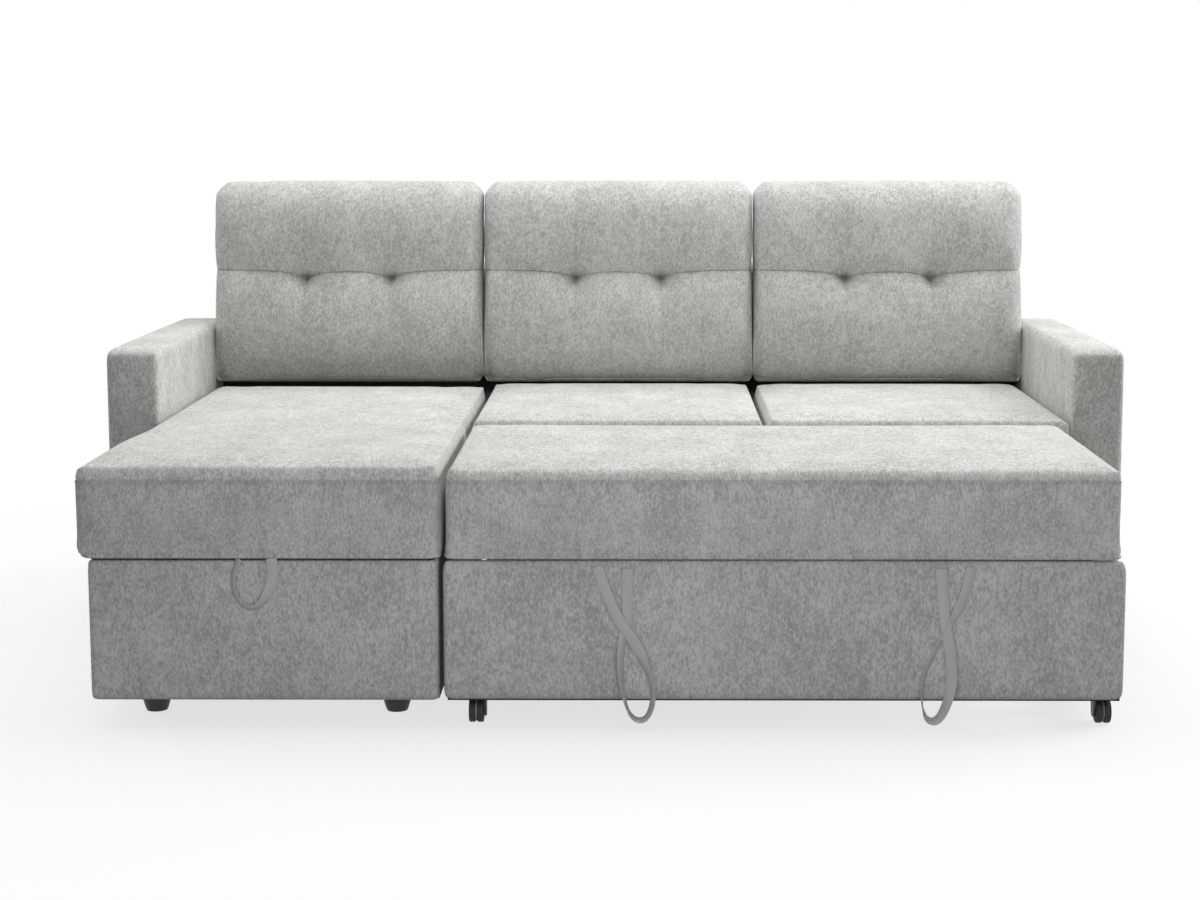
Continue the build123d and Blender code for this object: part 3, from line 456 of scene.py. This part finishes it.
def speckled(name, tone, grain, roughness, strength, metal=0.0):
    """Moulded plastic, rubber or painted steel with a fine skin and a little wear."""
    material, tree, shader = node_tree(name)
    place = add(tree, "ShaderNodeTexCoord")
    fine = stretched_noise(tree, place.outputs["Object"], (grain, grain, grain), 3.0)
    wear = stretched_noise(tree, place.outputs["Object"], (28, 28, 28), 4.0)
    value = mixed(tree, 0.5, fine, wear)
    stops = ((0.38, shade(tone, 0.7)), (0.62, shade(tone, 1.5)))
    tree.links.new(ramp_colours(tree, value, stops), shader.inputs["Base Color"])
    rough = add(tree, "ShaderNodeMapRange", To_Min=roughness - 0.1, To_Max=roughness + 0.1)
    tree.links.new(wear, rough.inputs["Value"])
    tree.links.new(rough.outputs[0], shader.inputs["Roughness"])
    bumped(tree, shader, fine, strength, distance=0.0004)
    set_values(shader, Metallic=metal)
    return material


def elastic_webbing():
    """Dark elastic webbing with ribs across each band."""
    material, tree, shader = node_tree("webbing")
    place = add(tree, "ShaderNodeTexCoord")
    rib = add(tree, "ShaderNodeTexWave", Scale=160.0, Distortion=0.6, bands_direction="X")
    tree.links.new(place.outputs["Object"], rib.inputs["Vector"])
    fuzz = stretched_noise(tree, place.outputs["Object"], (700, 700, 700), 2.0)
    value = mixed(tree, 0.4, rib.outputs["Fac"], fuzz)
    stops = ((0.25, (0.05, 0.05, 0.055)), (0.75, (0.17, 0.17, 0.18)))
    tree.links.new(ramp_colours(tree, value, stops), shader.inputs["Base Color"])
    bumped(tree, shader, rib.outputs["Fac"], strength=0.4, distance=0.0006)
    set_values(shader, Roughness=0.85)
    return material


def floor_paper():
    """Pale paper that shows as white, more so further out, and lights the sofa from below only a little."""
    near = 1.0
    far = 2.4
    near_white = 0.72
    material, tree, shader = node_tree("floor_paper")
    link = tree.links.new
    seen = seen_rays(tree, "Is Camera Ray", "Is Glossy Ray", "Is Transmission Ray")
    place = add(tree, "ShaderNodeTexCoord")
    away = add(tree, "ShaderNodeVectorMath", operation="LENGTH")
    link(place.outputs["Object"], away.inputs[0])
    fade = add(tree, "ShaderNodeMapRange", From_Min=near, From_Max=far, To_Min=near_white, To_Max=1.0)
    link(away.outputs["Value"], fade.inputs["Value"])
    share = add(tree, "ShaderNodeMath", operation="MULTIPLY")
    link(fade.outputs[0], share.inputs[0])
    link(seen, share.inputs[1])
    white = add(tree, "ShaderNodeEmission", Strength=1.0, Color=(1, 1, 1, 1))
    blend = add(tree, "ShaderNodeMixShader")
    link(share.outputs[0], blend.inputs[0])
    link(shader.outputs[0], blend.inputs[1])
    link(white.outputs[0], blend.inputs[2])
    link(blend.outputs[0], tree.nodes["Material Output"].inputs["Surface"])
    tone = add(tree, "ShaderNodeMix", data_type="RGBA")
    tone.inputs[6].default_value = (0.3, 0.3, 0.3, 1)
    tone.inputs[7].default_value = (0.97, 0.97, 0.97, 1)
    link(seen, tone.inputs["Factor"])
    link(tone.outputs[2], shader.inputs["Base Color"])
    set_values(shader, Roughness=1.0, Specular_IOR_Level=0.0)
    return material


def studio_world(level):
    """White where it is seen, and a faint even light of the given level elsewhere."""
    world = bpy.data.worlds.new("studio")
    world.use_nodes = True
    tree = world.node_tree
    background = tree.nodes["Background"]
    strength = add(tree, "ShaderNodeMapRange", To_Min=level, To_Max=1.0)
    tree.links.new(seen_rays(tree, "Is Camera Ray", "Is Glossy Ray"), strength.inputs["Value"])
    tree.links.new(strength.outputs[0], background.inputs["Strength"])
    set_values(background, Color=(1, 1, 1, 1))
    return world


class SOFABED_OT_finishes(bpy.types.Operator):
    """Materials of the cover and of the frame's own pieces"""

    bl_idname = "sofabed.finishes"
    bl_label = "Finishes"

    def execute(self, context):
        cloth = context.scene.sofa_cloth
        steel = shade(cloth.black, 3.0)
        rubber = shade(cloth.black, 1.2)
        finishes = {
            "upholstery": chenille(),
            "strap_tape": strap_tape(),
            "webbing": elastic_webbing(),
            "frame_wood": grained("frame_wood", cloth.wood, scale=(12, 110, 110), spread=0.3),
            "plywood": grained("plywood", cloth.plywood, scale=(26, 34, 420), spread=0.22),
            "steel": speckled("steel", steel, grain=900, roughness=0.42, strength=0.12, metal=0.4),
            "black_plastic": speckled("black_plastic", cloth.black, grain=1100, roughness=0.45, strength=0.2),
            "black_rubber": speckled("black_rubber", rubber, grain=800, roughness=0.7, strength=0.3),
        }
        for name, node in NODES.items():
            node.data.materials.clear()
            node.data.materials.append(finishes[SLOTS[name]])
        # Black cloth on the lid board, cushion ledge and front panel board: partly a real lining, partly
        # painted shade, so their edges seen in the gaps under the cushions and the panel show as dark shadow
        # lines.
        lining_and_shade = speckled("lining_cloth_and_shade", (0.02, 0.02, 0.02), grain=1500, roughness=0.9, strength=0.3)
        for name in ("lid_board", "cushion_ledge", "front_panel_board"):
            NODES[name].data.materials[0] = lining_and_shade
        return {"FINISHED"}


# Seat cushions, chaise cushion and mattress


def side_share(place, normal):
    """1 on a wall that is upright or nearly so, 0 on a top or bottom."""
    return min(1.0, max(0.0, 3.4 - 4 * abs(normal.z)))


def dome(inset, reach):
    """Rise of a crown from 0 at the edge to 1."""
    return np.sqrt(1 - (1 - np.clip(inset / reach, 0, 1)) ** 2)


def box_piece(name, low, high):
    """A plain box between two corners."""
    mesh = bmesh.new()
    bmesh.ops.create_cube(mesh, size=1)
    for vertex in mesh.verts:
        vertex.co = [start + (share + 0.5) * (end - start) for share, start, end in zip(vertex.co, low, high)]
    data = bpy.data.meshes.new(name)
    mesh.to_mesh(data)
    mesh.free()
    return new_piece(name, data)


def boxed_cushion(node, seam_height, lift, close, sides):
    """A boxed cushion with a border up to its seam.

    lift raises its top, close widens it at the left and right, and sides are its top's rolls there.
    """
    shape = bpy.context.scene.sofa_shape
    base_held = 0.012
    base_free = 0.024
    seam_held = 0.006
    seam_free = 0.014
    pressure = 4.0
    low, high = (np.array(corner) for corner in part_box(node))
    seam = low[2] + seam_height
    high[2] += lift
    rise = high[2] - seam
    low[0] -= close[0]
    high[0] += close[1]
    corner = shape.plan_corner
    walls = ((0, low[0], 1), (0, high[0], -1), (1, low[1], 1), (1, high[1], -1))
    piece = box_piece(node + "_cover", low, high)
    apply_modifier(piece, "REMESH", mode="VOXEL", voxel_size=shape.seat_voxel)
    spots = places(piece)
    for _, side, turn in walls[:2]:
        for _, end, way in walls[2:]:
            round_edge(spots, (0, 1), (side, end), (turn * corner, way * corner))
    put(piece, spots)
    base = step(spots[:, 2], low[2] + base_free, low[2] + base_held)
    spots -= normals(piece) * (shape.slack * (1 - base))[:, None]
    put(piece, spots)
    wall = step(np.abs(normals(piece)[:, 2]), 0.8, 0.5)
    sewn = np.maximum(base, wall * step(np.abs(spots[:, 2] - seam), seam_free, seam_held))
    swollen(piece, sewn, pressure, shape.swell)
    apply_modifier(piece, "SUBSURF", levels=1, render_levels=1)
    spots = places(piece)
    fit_box(spots, low, high, (0, 1))
    above = np.maximum(spots[:, 2] - seam, 0)
    spots[:, 2] += above * (rise / above.max() - 1)
    reaches = (*sides, shape.roll_front, shape.roll_rear)
    for (axis, edge, turn), reach in zip(walls, reaches):
        round_edge(spots, (axis, 2), (edge, high[2]), (turn * reach, -rise))
    crown = 1.0
    for axis, edge, turn in walls:
        crown = crown * dome(turn * (spots[:, axis] - edge), shape.crown_reach)
    above = np.maximum(spots[:, 2] - seam, 0) / rise
    spots[:, 2] -= shape.crown_fall * (1 - crown) * step(above, 0.5, 1.0)
    spots[:, 2] = np.maximum(spots[:, 2], low[2])
    put(piece, spots)
    return piece, low, high, seam


def hem(spots, low, high, drop):
    """Let the border's lower edge hang a little below the underside."""
    inset = np.minimum(spots[:, :2] - low[:2], high[:2] - spots[:, :2]).min(axis=1)
    rim = step(inset, 0.014, 0.006)
    bottom = step(spots[:, 2], low[2] + 0.02, low[2] + 0.004)
    spots[:, 2] -= drop * rim * bottom


def border_seams(piece, low, seam):
    """Bead and groove at the top of the border, and a bead along its bottom edge."""
    shape = bpy.context.scene.sofa_shape
    top = ((0.005, 0), (0.0018, -shape.groove), (-0.0016, shape.bead * 0.6), (-0.007, 0))
    bottom = ((0.014, 0), (0.009, -shape.groove * 0.6), (0.0048, shape.bead))
    sewn_line(piece, 2, seam, top, side_share)
    sewn_line(piece, 2, low[2], bottom, side_share)


class SOFABED_OT_seats(bpy.types.Operator):
    """Seat cushions, chaise cushion and mattress in chenille covers"""

    bl_idname = "sofabed.seats"
    bl_label = "Seat cushions"

    def execute(self, context):
        shape = context.scene.sofa_shape
        cover = bpy.data.materials["chenille"]
        border = 0.138
        hang_start = -0.2
        hang_full = -0.42
        hang_reach = 0.3
        least_rise = 0.02
        pressed = shape.roll_side
        free = shape.roll_open
        close = shape.seat_close
        cushions = {
            "seat_cushion_middle": ("sofa", 0.010, 0.010, (close, close), (pressed, pressed)),
            "seat_cushion_right": ("sofa", 0.010, 0.010, (close, 0), (pressed, free)),
            "mattress": ("platform", 0.006, 0.016, (close, 0), (pressed, free)),
            "chaise_cushion": ("chaise_lid", 0.024, 0.016, (0, 0), (free, pressed)),
        }
        for node, (body, left_roll, right_roll, widen, sides) in cushions.items():
            on_bed = node == "mattress"
            lift = shape.bed_lift if on_bed else shape.crown_lift
            drop = shape.bed_hem if on_bed else shape.hem
            piece, low, high, seam = boxed_cushion(node, border, lift, widen, sides)
            spots = places(piece)
            hang = np.zeros(len(spots))
            if node == "chaise_cushion":
                hang = shape.overhang * step(spots[:, 1], hang_start, hang_full)
                spots[:, 0] -= hang * step(spots[:, 0], low[0] + hang_reach, low[0])
            left_rise = least_rise + left_roll
            right_rise = right_roll * 1.5
            round_edge(spots, (0, 2), (low[0] - hang, low[2]), (left_roll + hang, left_rise))
            round_edge(spots, (0, 2), (high[0], low[2]), (-right_roll, right_rise))
            hem(spots, low, high, drop)
            put(piece, spots)
            border_seams(piece, low, seam)
            finish_piece(piece, body, "upholstery", cover, node)
        return {"FINISHED"}


# Back cushions


def fill_width(spots, low, high, close):
    """Widen each level of a back cushion to its full width, less so at the very top."""
    count = 60
    thinnest = 0.001
    most = 1.2
    middle = (low[0] + high[0]) / 2
    half = (high[0] - low[0]) / 2
    levels = np.linspace(low[2], high[2], count)
    row = np.clip(np.digitize(spots[:, 2], levels), 0, count - 1)
    width = np.full(count, thinnest)
    np.maximum.at(width, row, np.abs(spots[:, 0] - middle))
    fuller = np.clip((half + close) / np.interp(spots[:, 2], levels, width), 1, most)
    below_top = step(spots[:, 2], high[2] - 0.008, high[2] - 0.035)
    spots[:, 0] = middle + (spots[:, 0] - middle) * (1 + (fuller - 1) * below_top)


def back_cushion(node):
    """A back cushion: two lobes across a dipping seam, sewn in at two tufts."""
    shape = bpy.context.scene.sofa_shape
    low, high = (np.array(corner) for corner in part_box(node))
    middle = (low[0] + high[0]) / 2
    half = (high[0] - low[0]) / 2
    tuft_apart = 0.097
    tufts = (middle - tuft_apart, middle + tuft_apart)
    seam = 0.734
    dip_width = 0.036
    dip_height = 0.09
    pressure = 3.5
    upper_lobe = 0.034
    lower_lobe = 0.024
    tuft_width = 0.046
    tuft_above = 0.072
    tuft_below = 0.034
    pit_radius = 0.007
    crease_width = 0.012
    crease_depth = 0.0035
    crease_height = 0.26
    under_height = 0.17
    notch_depth = 0.003
    notch_height = 0.018
    corner_width = 0.022
    corner_height = 0.024
    piece = hull_copy(node + "_cover", node)
    apply_modifier(piece, "REMESH", mode="VOXEL", voxel_size=shape.back_voxel)
    spots = places(piece)
    spots -= normals(piece) * shape.slack
    put(piece, spots)

    def dip(x):
        """How far the seam runs below its level at x."""
        return sum(shape.seam_dip * np.exp(-np.abs(x - tuft) / dip_width) for tuft in tufts)

    facing = step(-normals(piece)[:, 1], 0.2, 0.6)
    beside = np.abs(spots[:, 2] - seam + dip(spots[:, 0]))
    sewn = facing * step(beside, 0.011, 0.004)
    sewn = np.maximum(sewn, step(spots[:, 2], low[2] + 0.03, low[2] + 0.01))
    sewn = np.maximum(sewn, step(spots[:, 1], high[1] - 0.03, high[1] - 0.01))
    swollen(piece, sewn, pressure, shape.swell)
    apply_modifier(piece, "SUBSURF", levels=1, render_levels=1)

    spots = places(piece)
    facing = step(-normals(piece)[:, 1], 0.1, 0.6)
    away = spots[:, 2] - seam + dip(spots[:, 0])
    inside = step(half - np.abs(spots[:, 0] - middle), 0.0, 0.07)
    lobe = np.where(away > 0, upper_lobe, lower_lobe)
    draw = shape.seam_draw * np.exp(-np.abs(away) / lobe) * (0.35 + 0.65 * inside)
    tuft_height = np.where(away > 0, tuft_above, tuft_below)
    for tuft in tufts:
        aside = spots[:, 0] - tuft
        reach = np.hypot(aside / tuft_width, away / tuft_height)
        draw += shape.tuft_draw * np.exp(-reach * 1.3)
        draw += shape.tuft_pit * np.exp(-((np.hypot(aside, away) / pit_radius) ** 1.5))
        line = np.exp(-((aside / crease_width) ** 2))
        draw += crease_depth * line * step(np.abs(away), crease_height, 0.03)
    close = np.array([shape.back_close, 0, 0])
    fit_box(spots, low - close, high + close, (0, 1, 2))
    fill_width(spots, low, high, shape.back_close)
    under = np.clip(1 - (spots[:, 2] - low[2]) / under_height, 0, 1)
    draw += shape.back_under * under**2
    spots[:, 1] += draw * facing
    notch = notch_depth * np.exp(-np.abs(away) / notch_height) * (1 - inside)
    spots[:, 0] -= np.sign(spots[:, 0] - middle) * notch
    front = spots[:, 1].min()
    round_edge(spots, (1, 2), (front + 0.006, low[2]), (0.06, 0.07))
    for level, lift in ((low[2], corner_height), (high[2], -corner_height)):
        round_edge(spots, (0, 2), (low[0] - shape.back_close, level), (corner_width, lift))
        round_edge(spots, (0, 2), (high[0] + shape.back_close, level), (-corner_width, lift))
    spots[:, 2] += dip(spots[:, 0]) * step(np.abs(away), dip_height, 0.0)
    put(piece, spots)

    def front_share(place, normal):
        """1 on the front, 0 behind."""
        return min(1.0, max(0.0, -normal.y * 1.6))

    def thread_share(place, normal):
        """Strong beside the tufts, fading up and down."""
        return front_share(place, normal) * max(0.0, 1 - abs(place.z - seam) / 0.28)

    cross = ((0.006, 0), (0.0018, 0.0008), (0, -0.003), (-0.0018, 0.0012), (-0.007, 0))
    thread = ((0.005, 0), (0, -0.0016), (-0.005, 0))
    sewn_line(piece, 2, seam, cross, front_share)
    for tuft in tufts:
        sewn_line(piece, 0, tuft, thread, thread_share)
    spots = places(piece)
    away = spots[:, 2] - seam
    spots[:, 2] = seam + away - dip(spots[:, 0]) * step(np.abs(away), dip_height, 0.0)
    put(piece, spots)
    return piece


class SOFABED_OT_backs(bpy.types.Operator):
    """Three tufted back cushions"""

    bl_idname = "sofabed.backs"
    bl_label = "Back cushions"

    def execute(self, context):
        cover = bpy.data.materials["chenille"]
        for side in ("left", "middle", "right"):
            node = "back_cushion_" + side
            piece = back_cushion(node)
            finish_piece(piece, "sofa", "upholstery", cover, node)
        return {"FINISHED"}


# Padded covers of the arms, back and fronts


def padded_cover(node, puffs):
    """A cover over a board: the frame piece's outline, swelling a little on the faces that puffs names."""
    shape = bpy.context.scene.sofa_shape
    low, high = (np.array(corner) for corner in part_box(node))
    piece = hull_copy(node + "_padding", node)
    apply_modifier(piece, "REMESH", mode="VOXEL", voxel_size=shape.cover_voxel)
    apply_modifier(piece, "SUBSURF", levels=1, render_levels=1)
    spots = places(piece)
    fit_box(spots, low, high, (0, 1, 2))
    ways = normals(piece)
    share = np.clip((spots - low) / (high - low), 0, 1)
    arch = np.sqrt(np.sin(np.pi * share))
    for axis, sign, swell in puffs:
        first, second = (other for other in range(3) if other != axis)
        facing = step(sign * ways[:, axis], 0.6, 0.95)
        spots[:, axis] += sign * swell * facing * arch[:, first] * arch[:, second]
    put(piece, spots)
    return piece


class SOFABED_OT_covers(bpy.types.Operator):
    """Padded covers of the arms, the back, the chaise box and the bed's front panel"""

    bl_idname = "sofabed.covers"
    bl_label = "Padded covers"

    def execute(self, context):
        puff = context.scene.sofa_shape.cover_puff
        slim = puff * 0.4
        cover = bpy.data.materials["chenille"]
        covers = {
            "arm_cover_left": ("sofa", ((0, -1, puff), (1, -1, puff), (2, 1, puff))),
            "arm_cover_right": ("sofa", ((0, 1, puff), (1, -1, puff), (2, 1, puff))),
            "back_cover": ("sofa", ((1, 1, puff), (2, 1, puff))),
            "chaise_front_panel": ("sofa", ((1, -1, slim),)),
            "chaise_left_panel": ("sofa", ((0, -1, slim),)),
            "front_panel_cover": ("carriage", ((1, -1, slim), (2, 1, slim * 1.4))),
        }
        for node, (body, puffs) in covers.items():
            piece = padded_cover(node, puffs)
            finish_piece(piece, body, "upholstery", cover, node)
        return {"FINISHED"}


# Pull straps and the chaise loop


def route_points(name, controls):
    """Points along a strap's smooth line, read from its NURBS spline."""
    curve = bpy.data.curves.new(name, "CURVE")
    curve.dimensions = "3D"
    curve.resolution_u = 10
    spline = curve.splines.new("NURBS")
    spline.points.add(len(controls) - 1)
    for point, control in zip(spline.points, controls):
        point.co = (*control, 1)
    spline.order_u = 3
    spline.use_endpoint_u = True
    guide = bpy.data.objects.new(name, curve)
    bpy.context.scene.collection.objects.link(guide)
    bpy.context.view_layer.update()
    line = bpy.data.meshes.new_from_object(guide)
    points = [np.array(vertex.co) for vertex in line.vertices]
    bpy.data.objects.remove(guide)
    bpy.data.meshes.remove(line)
    apart = 0.0005
    kept = points[:1]
    for point in points[1:]:
        if np.linalg.norm(point - kept[-1]) > apart:
            kept.append(point)
    return np.array(kept)


def ribbon(name, points, turns):
    """Flat tape along points; turns gives (share of the length, angle) from flat to edge on."""
    shape = bpy.context.scene.sofa_shape
    half_width = shape.tape_width / 2
    half_thick = shape.tape_thickness / 2
    steps = np.linalg.norm(np.diff(points, axis=0), axis=1)
    along = np.concatenate([[0], np.cumsum(steps)])
    total = along[-1]
    angles = np.interp(along / total, [t for t, _ in turns], [math.radians(a) for _, a in turns])
    tangents = np.gradient(points, axis=0)
    tangents /= np.linalg.norm(tangents, axis=1)[:, None]
    mesh = bmesh.new()
    uv = mesh.loops.layers.uv.new("tape")
    rings = []
    half_section = ((-1, 0.35), (-0.9, 1), (0, 1.15), (0.9, 1), (1, 0.35))
    section = (*half_section, *((-u, -v) for u, v in half_section))
    for place, tangent, angle in zip(points, tangents, angles):
        outward = np.array([0.0, -1.0, 0.0])
        across = np.cross(outward, tangent)
        across /= np.linalg.norm(across)
        outward = np.cross(tangent, across)
        wide = across * math.cos(angle) + outward * math.sin(angle)
        thick = np.cross(tangent, wide)
        spots = [place + wide * u * half_width + thick * v * half_thick for u, v in section]
        rings.append([mesh.verts.new(spot) for spot in spots])
    count = len(section)
    for index, (near, far) in enumerate(zip(rings, rings[1:])):
        for corner in range(count):
            following = (corner + 1) % count
            face = mesh.faces.new((near[corner], near[following], far[following], far[corner]))
            for loop in face.loops:
                ring = index if loop.vert in near else index + 1
                loop[uv].uv = (along[ring], section[rings[ring].index(loop.vert)][0] * half_width)
    mesh.faces.new(list(reversed(rings[0])))
    mesh.faces.new(rings[-1])
    bmesh.ops.recalc_face_normals(mesh, faces=mesh.faces)
    data = bpy.data.meshes.new(name)
    mesh.to_mesh(data)
    mesh.free()
    return new_piece(name, data), total


class SOFABED_OT_straps(bpy.types.Operator):
    """Pull straps on the bed's front panel and the loop under the chaise cushion"""

    bl_idname = "sofabed.straps"
    bl_label = "Pull straps"

    def execute(self, context):
        tape = bpy.data.materials["strap_tape"]
        near = -0.6930
        over = -0.6965
        loop = -0.6998
        left = (
            (-0.0226, near, 0.2940),
            (-0.0120, near, 0.2620),
            (0.0000, over, 0.2327),
            (0.0174, over, 0.1923),
            (0.0450, -0.6985, 0.1586),
            (0.0620, loop, 0.1204),
            (0.0755, loop, 0.0800),
            (0.0760, loop, 0.0440),
            (0.0620, loop, 0.0165),
            (0.0400, loop, 0.0205),
            (0.0275, loop, 0.0460),
            (0.0185, loop, 0.0920),
            (0.0190, -0.6960, 0.1437),
            (0.0300, near, 0.1900),
            (0.0320, near, 0.2390),
            (0.0304, near, 0.2905),
        )
        right = (
            (0.5818, near, 0.2905),
            (0.5850, near, 0.2397),
            (0.5910, over, 0.1860),
            (0.6015, over, 0.1360),
            (0.6040, -0.6985, 0.0880),
            (0.5960, loop, 0.0480),
            (0.5800, loop, 0.0165),
            (0.5600, loop, 0.0175),
            (0.5510, loop, 0.0440),
            (0.5505, loop, 0.0830),
            (0.5620, -0.6960, 0.1198),
            (0.5860, near, 0.1634),
            (0.6085, near, 0.2033),
            (0.6286, near, 0.2546),
            (0.6358, near, 0.2935),
        )
        chaise = (
            (-0.6518, -0.6935, 0.3075),
            (-0.6620, -0.6960, 0.2850),
            (-0.6630, loop, 0.2550),
            (-0.6515, loop, 0.2290),
            (-0.6320, loop, 0.2170),
            (-0.6100, -0.6985, 0.2290),
            (-0.5955, -0.6960, 0.2582),
            (-0.5910, -0.6935, 0.2840),
            (-0.5953, -0.6930, 0.3080),
        )
        left_down = ((0, 0), (0.28, 6), (0.35, 55), (0.46, 66), (0.57, 86))
        left_up = ((0.68, 66), (0.76, 40), (0.84, 5), (1, 0))
        left_turn = (*left_down, *left_up)
        right_down = ((0, 0), (0.3, 4), (0.4, 40), (0.48, 60), (0.54, 84))
        right_up = ((0.63, 66), (0.74, 50), (0.85, 24), (1, 8))
        right_turn = (*right_down, *right_up)
        chaise_turn = ((0, 50), (0.2, 60), (0.45, 62), (0.6, 48), (0.78, 14), (1, 0))
        straps = (
            ("pull_strap_left", "carriage", left, left_turn),
            ("pull_strap_right", "carriage", right, right_turn),
            ("chaise_pull_loop", "chaise_lid", chaise, chaise_turn),
        )
        for node, body, controls, turns in straps:
            points = route_points(node + "_line", controls)
            piece, total = ribbon(node + "_tape", points, turns)
            finish_piece(piece, body, "strap_tape", tape, node)
            bpy.ops.object.shade_smooth_by_angle(angle=math.radians(50))
        return {"FINISHED"}


class SOFABED_OT_wheels(bpy.types.Operator):
    """Pale hub rings between the two treads of each caster wheel"""

    bl_idname = "sofabed.wheels"
    bl_label = "Wheel rings"

    def execute(self, context):
        grey = speckled("hub_plastic", (0.42, 0.42, 0.42), grain=900, roughness=0.5, strength=0.15)
        ring_radius = 0.0184
        ring_half = 0.0015
        for wheel in ("wheel_front_left", "wheel_front_right", "wheel_rear_left", "wheel_rear_right"):
            low, high = (Vector(corner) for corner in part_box(wheel))
            bpy.ops.object.select_all(action="DESELECT")
            bpy.ops.mesh.primitive_torus_add(
                location=(low + high) / 2,
                rotation=(0, math.pi / 2, 0),
                major_radius=ring_radius,
                minor_radius=ring_half,
                major_segments=48,
                minor_segments=10,
            )
            ring = context.object
            ring.name = wheel + "_ring"
            bpy.ops.object.transform_apply(location=True, rotation=True, scale=True)
            finish_piece(ring, wheel, "black_plastic", grey)
        return {"FINISHED"}


class SOFABED_OT_stage(bpy.types.Operator):
    """Floor, light and camera"""

    bl_idname = "sofabed.stage"
    bl_label = "Stage"

    def execute(self, context):
        scene = context.scene
        stage = scene.sofa_stage
        bpy.ops.object.select_all(action="DESELECT")
        bpy.ops.mesh.primitive_circle_add(vertices=96, radius=9, fill_type="NGON")
        floor = context.object
        floor.name = "floor"
        floor.data.materials.append(floor_paper())

        tilt = math.radians(62)
        level = math.radians(90)
        lights = (
            ("key", (0.0, 0.6, 3.4), (0, 0, 0), 3.8, stage.key_power),
            ("side_left", (-3.2, 0.7, 2.3), (0, -tilt, 0), 2.4, stage.left_power),
            ("side_right", (3.2, 0.7, 2.3), (0, tilt, 0), 2.4, stage.right_power),
            ("fill", (0.1, -2.3, 0.45), (level, 0, 0), 2.4, stage.fill_power),
        )
        for name, spot, turn, size, power in lights:
            bpy.ops.object.light_add(type="AREA", location=spot, rotation=turn)
            lamp = context.object
            lamp.name = name
            lamp.data.size = size
            lamp.data.energy = power
            lamp.visible_camera = False

        scene.world = studio_world(stage.world_level)

        aim = (math.pi / 2 - stage.camera_pitch, 0, stage.camera_yaw)
        bpy.ops.object.camera_add(location=stage.camera_place, rotation=aim)
        camera = context.object
        camera.data.sensor_width = 36
        camera.data.lens = stage.lens
        camera.data.shift_x = stage.shift[0]
        camera.data.shift_y = stage.shift[1]
        scene.camera = camera
        scene.view_settings.view_transform = "Standard"
        return {"FINISHED"}


class SOFABED_PT_panel(bpy.types.Panel):
    """The sofa bed's steps"""

    bl_idname = "SOFABED_PT_panel"
    bl_label = "Sofa Bed"
    bl_space_type = "VIEW_3D"
    bl_region_type = "UI"
    bl_category = "Sofa Bed"

    def draw(self, context):
        for step_class in STEPS:
            self.layout.operator(step_class.bl_idname)


GROUPS = (("sofa_cloth", SofaCloth), ("sofa_shape", SofaShape), ("sofa_stage", SofaStage))
STEPS = (
    SOFABED_OT_finishes,
    SOFABED_OT_straps,
    SOFABED_OT_seats,
    SOFABED_OT_backs,
    SOFABED_OT_covers,
    SOFABED_OT_wheels,
    SOFABED_OT_stage,
)


def register():
    for name, group in GROUPS:
        bpy.utils.register_class(group)
        setattr(bpy.types.Scene, name, bpy.props.PointerProperty(type=group))
    for kind in (*STEPS, SOFABED_PT_panel):
        bpy.utils.register_class(kind)


def unregister():
    for kind in (SOFABED_PT_panel, *reversed(STEPS)):
        bpy.utils.unregister_class(kind)
    for name, group in reversed(GROUPS):
        delattr(bpy.types.Scene, name)
        bpy.utils.unregister_class(group)


def main():
    register()
    bpy.ops.sofabed.finishes()
    bpy.ops.sofabed.straps()
    bpy.ops.sofabed.seats()
    bpy.ops.sofabed.backs()
    bpy.ops.sofabed.covers()
    bpy.ops.sofabed.wheels()
    bpy.ops.sofabed.stage()


if __name__ == "__main__":
    main()
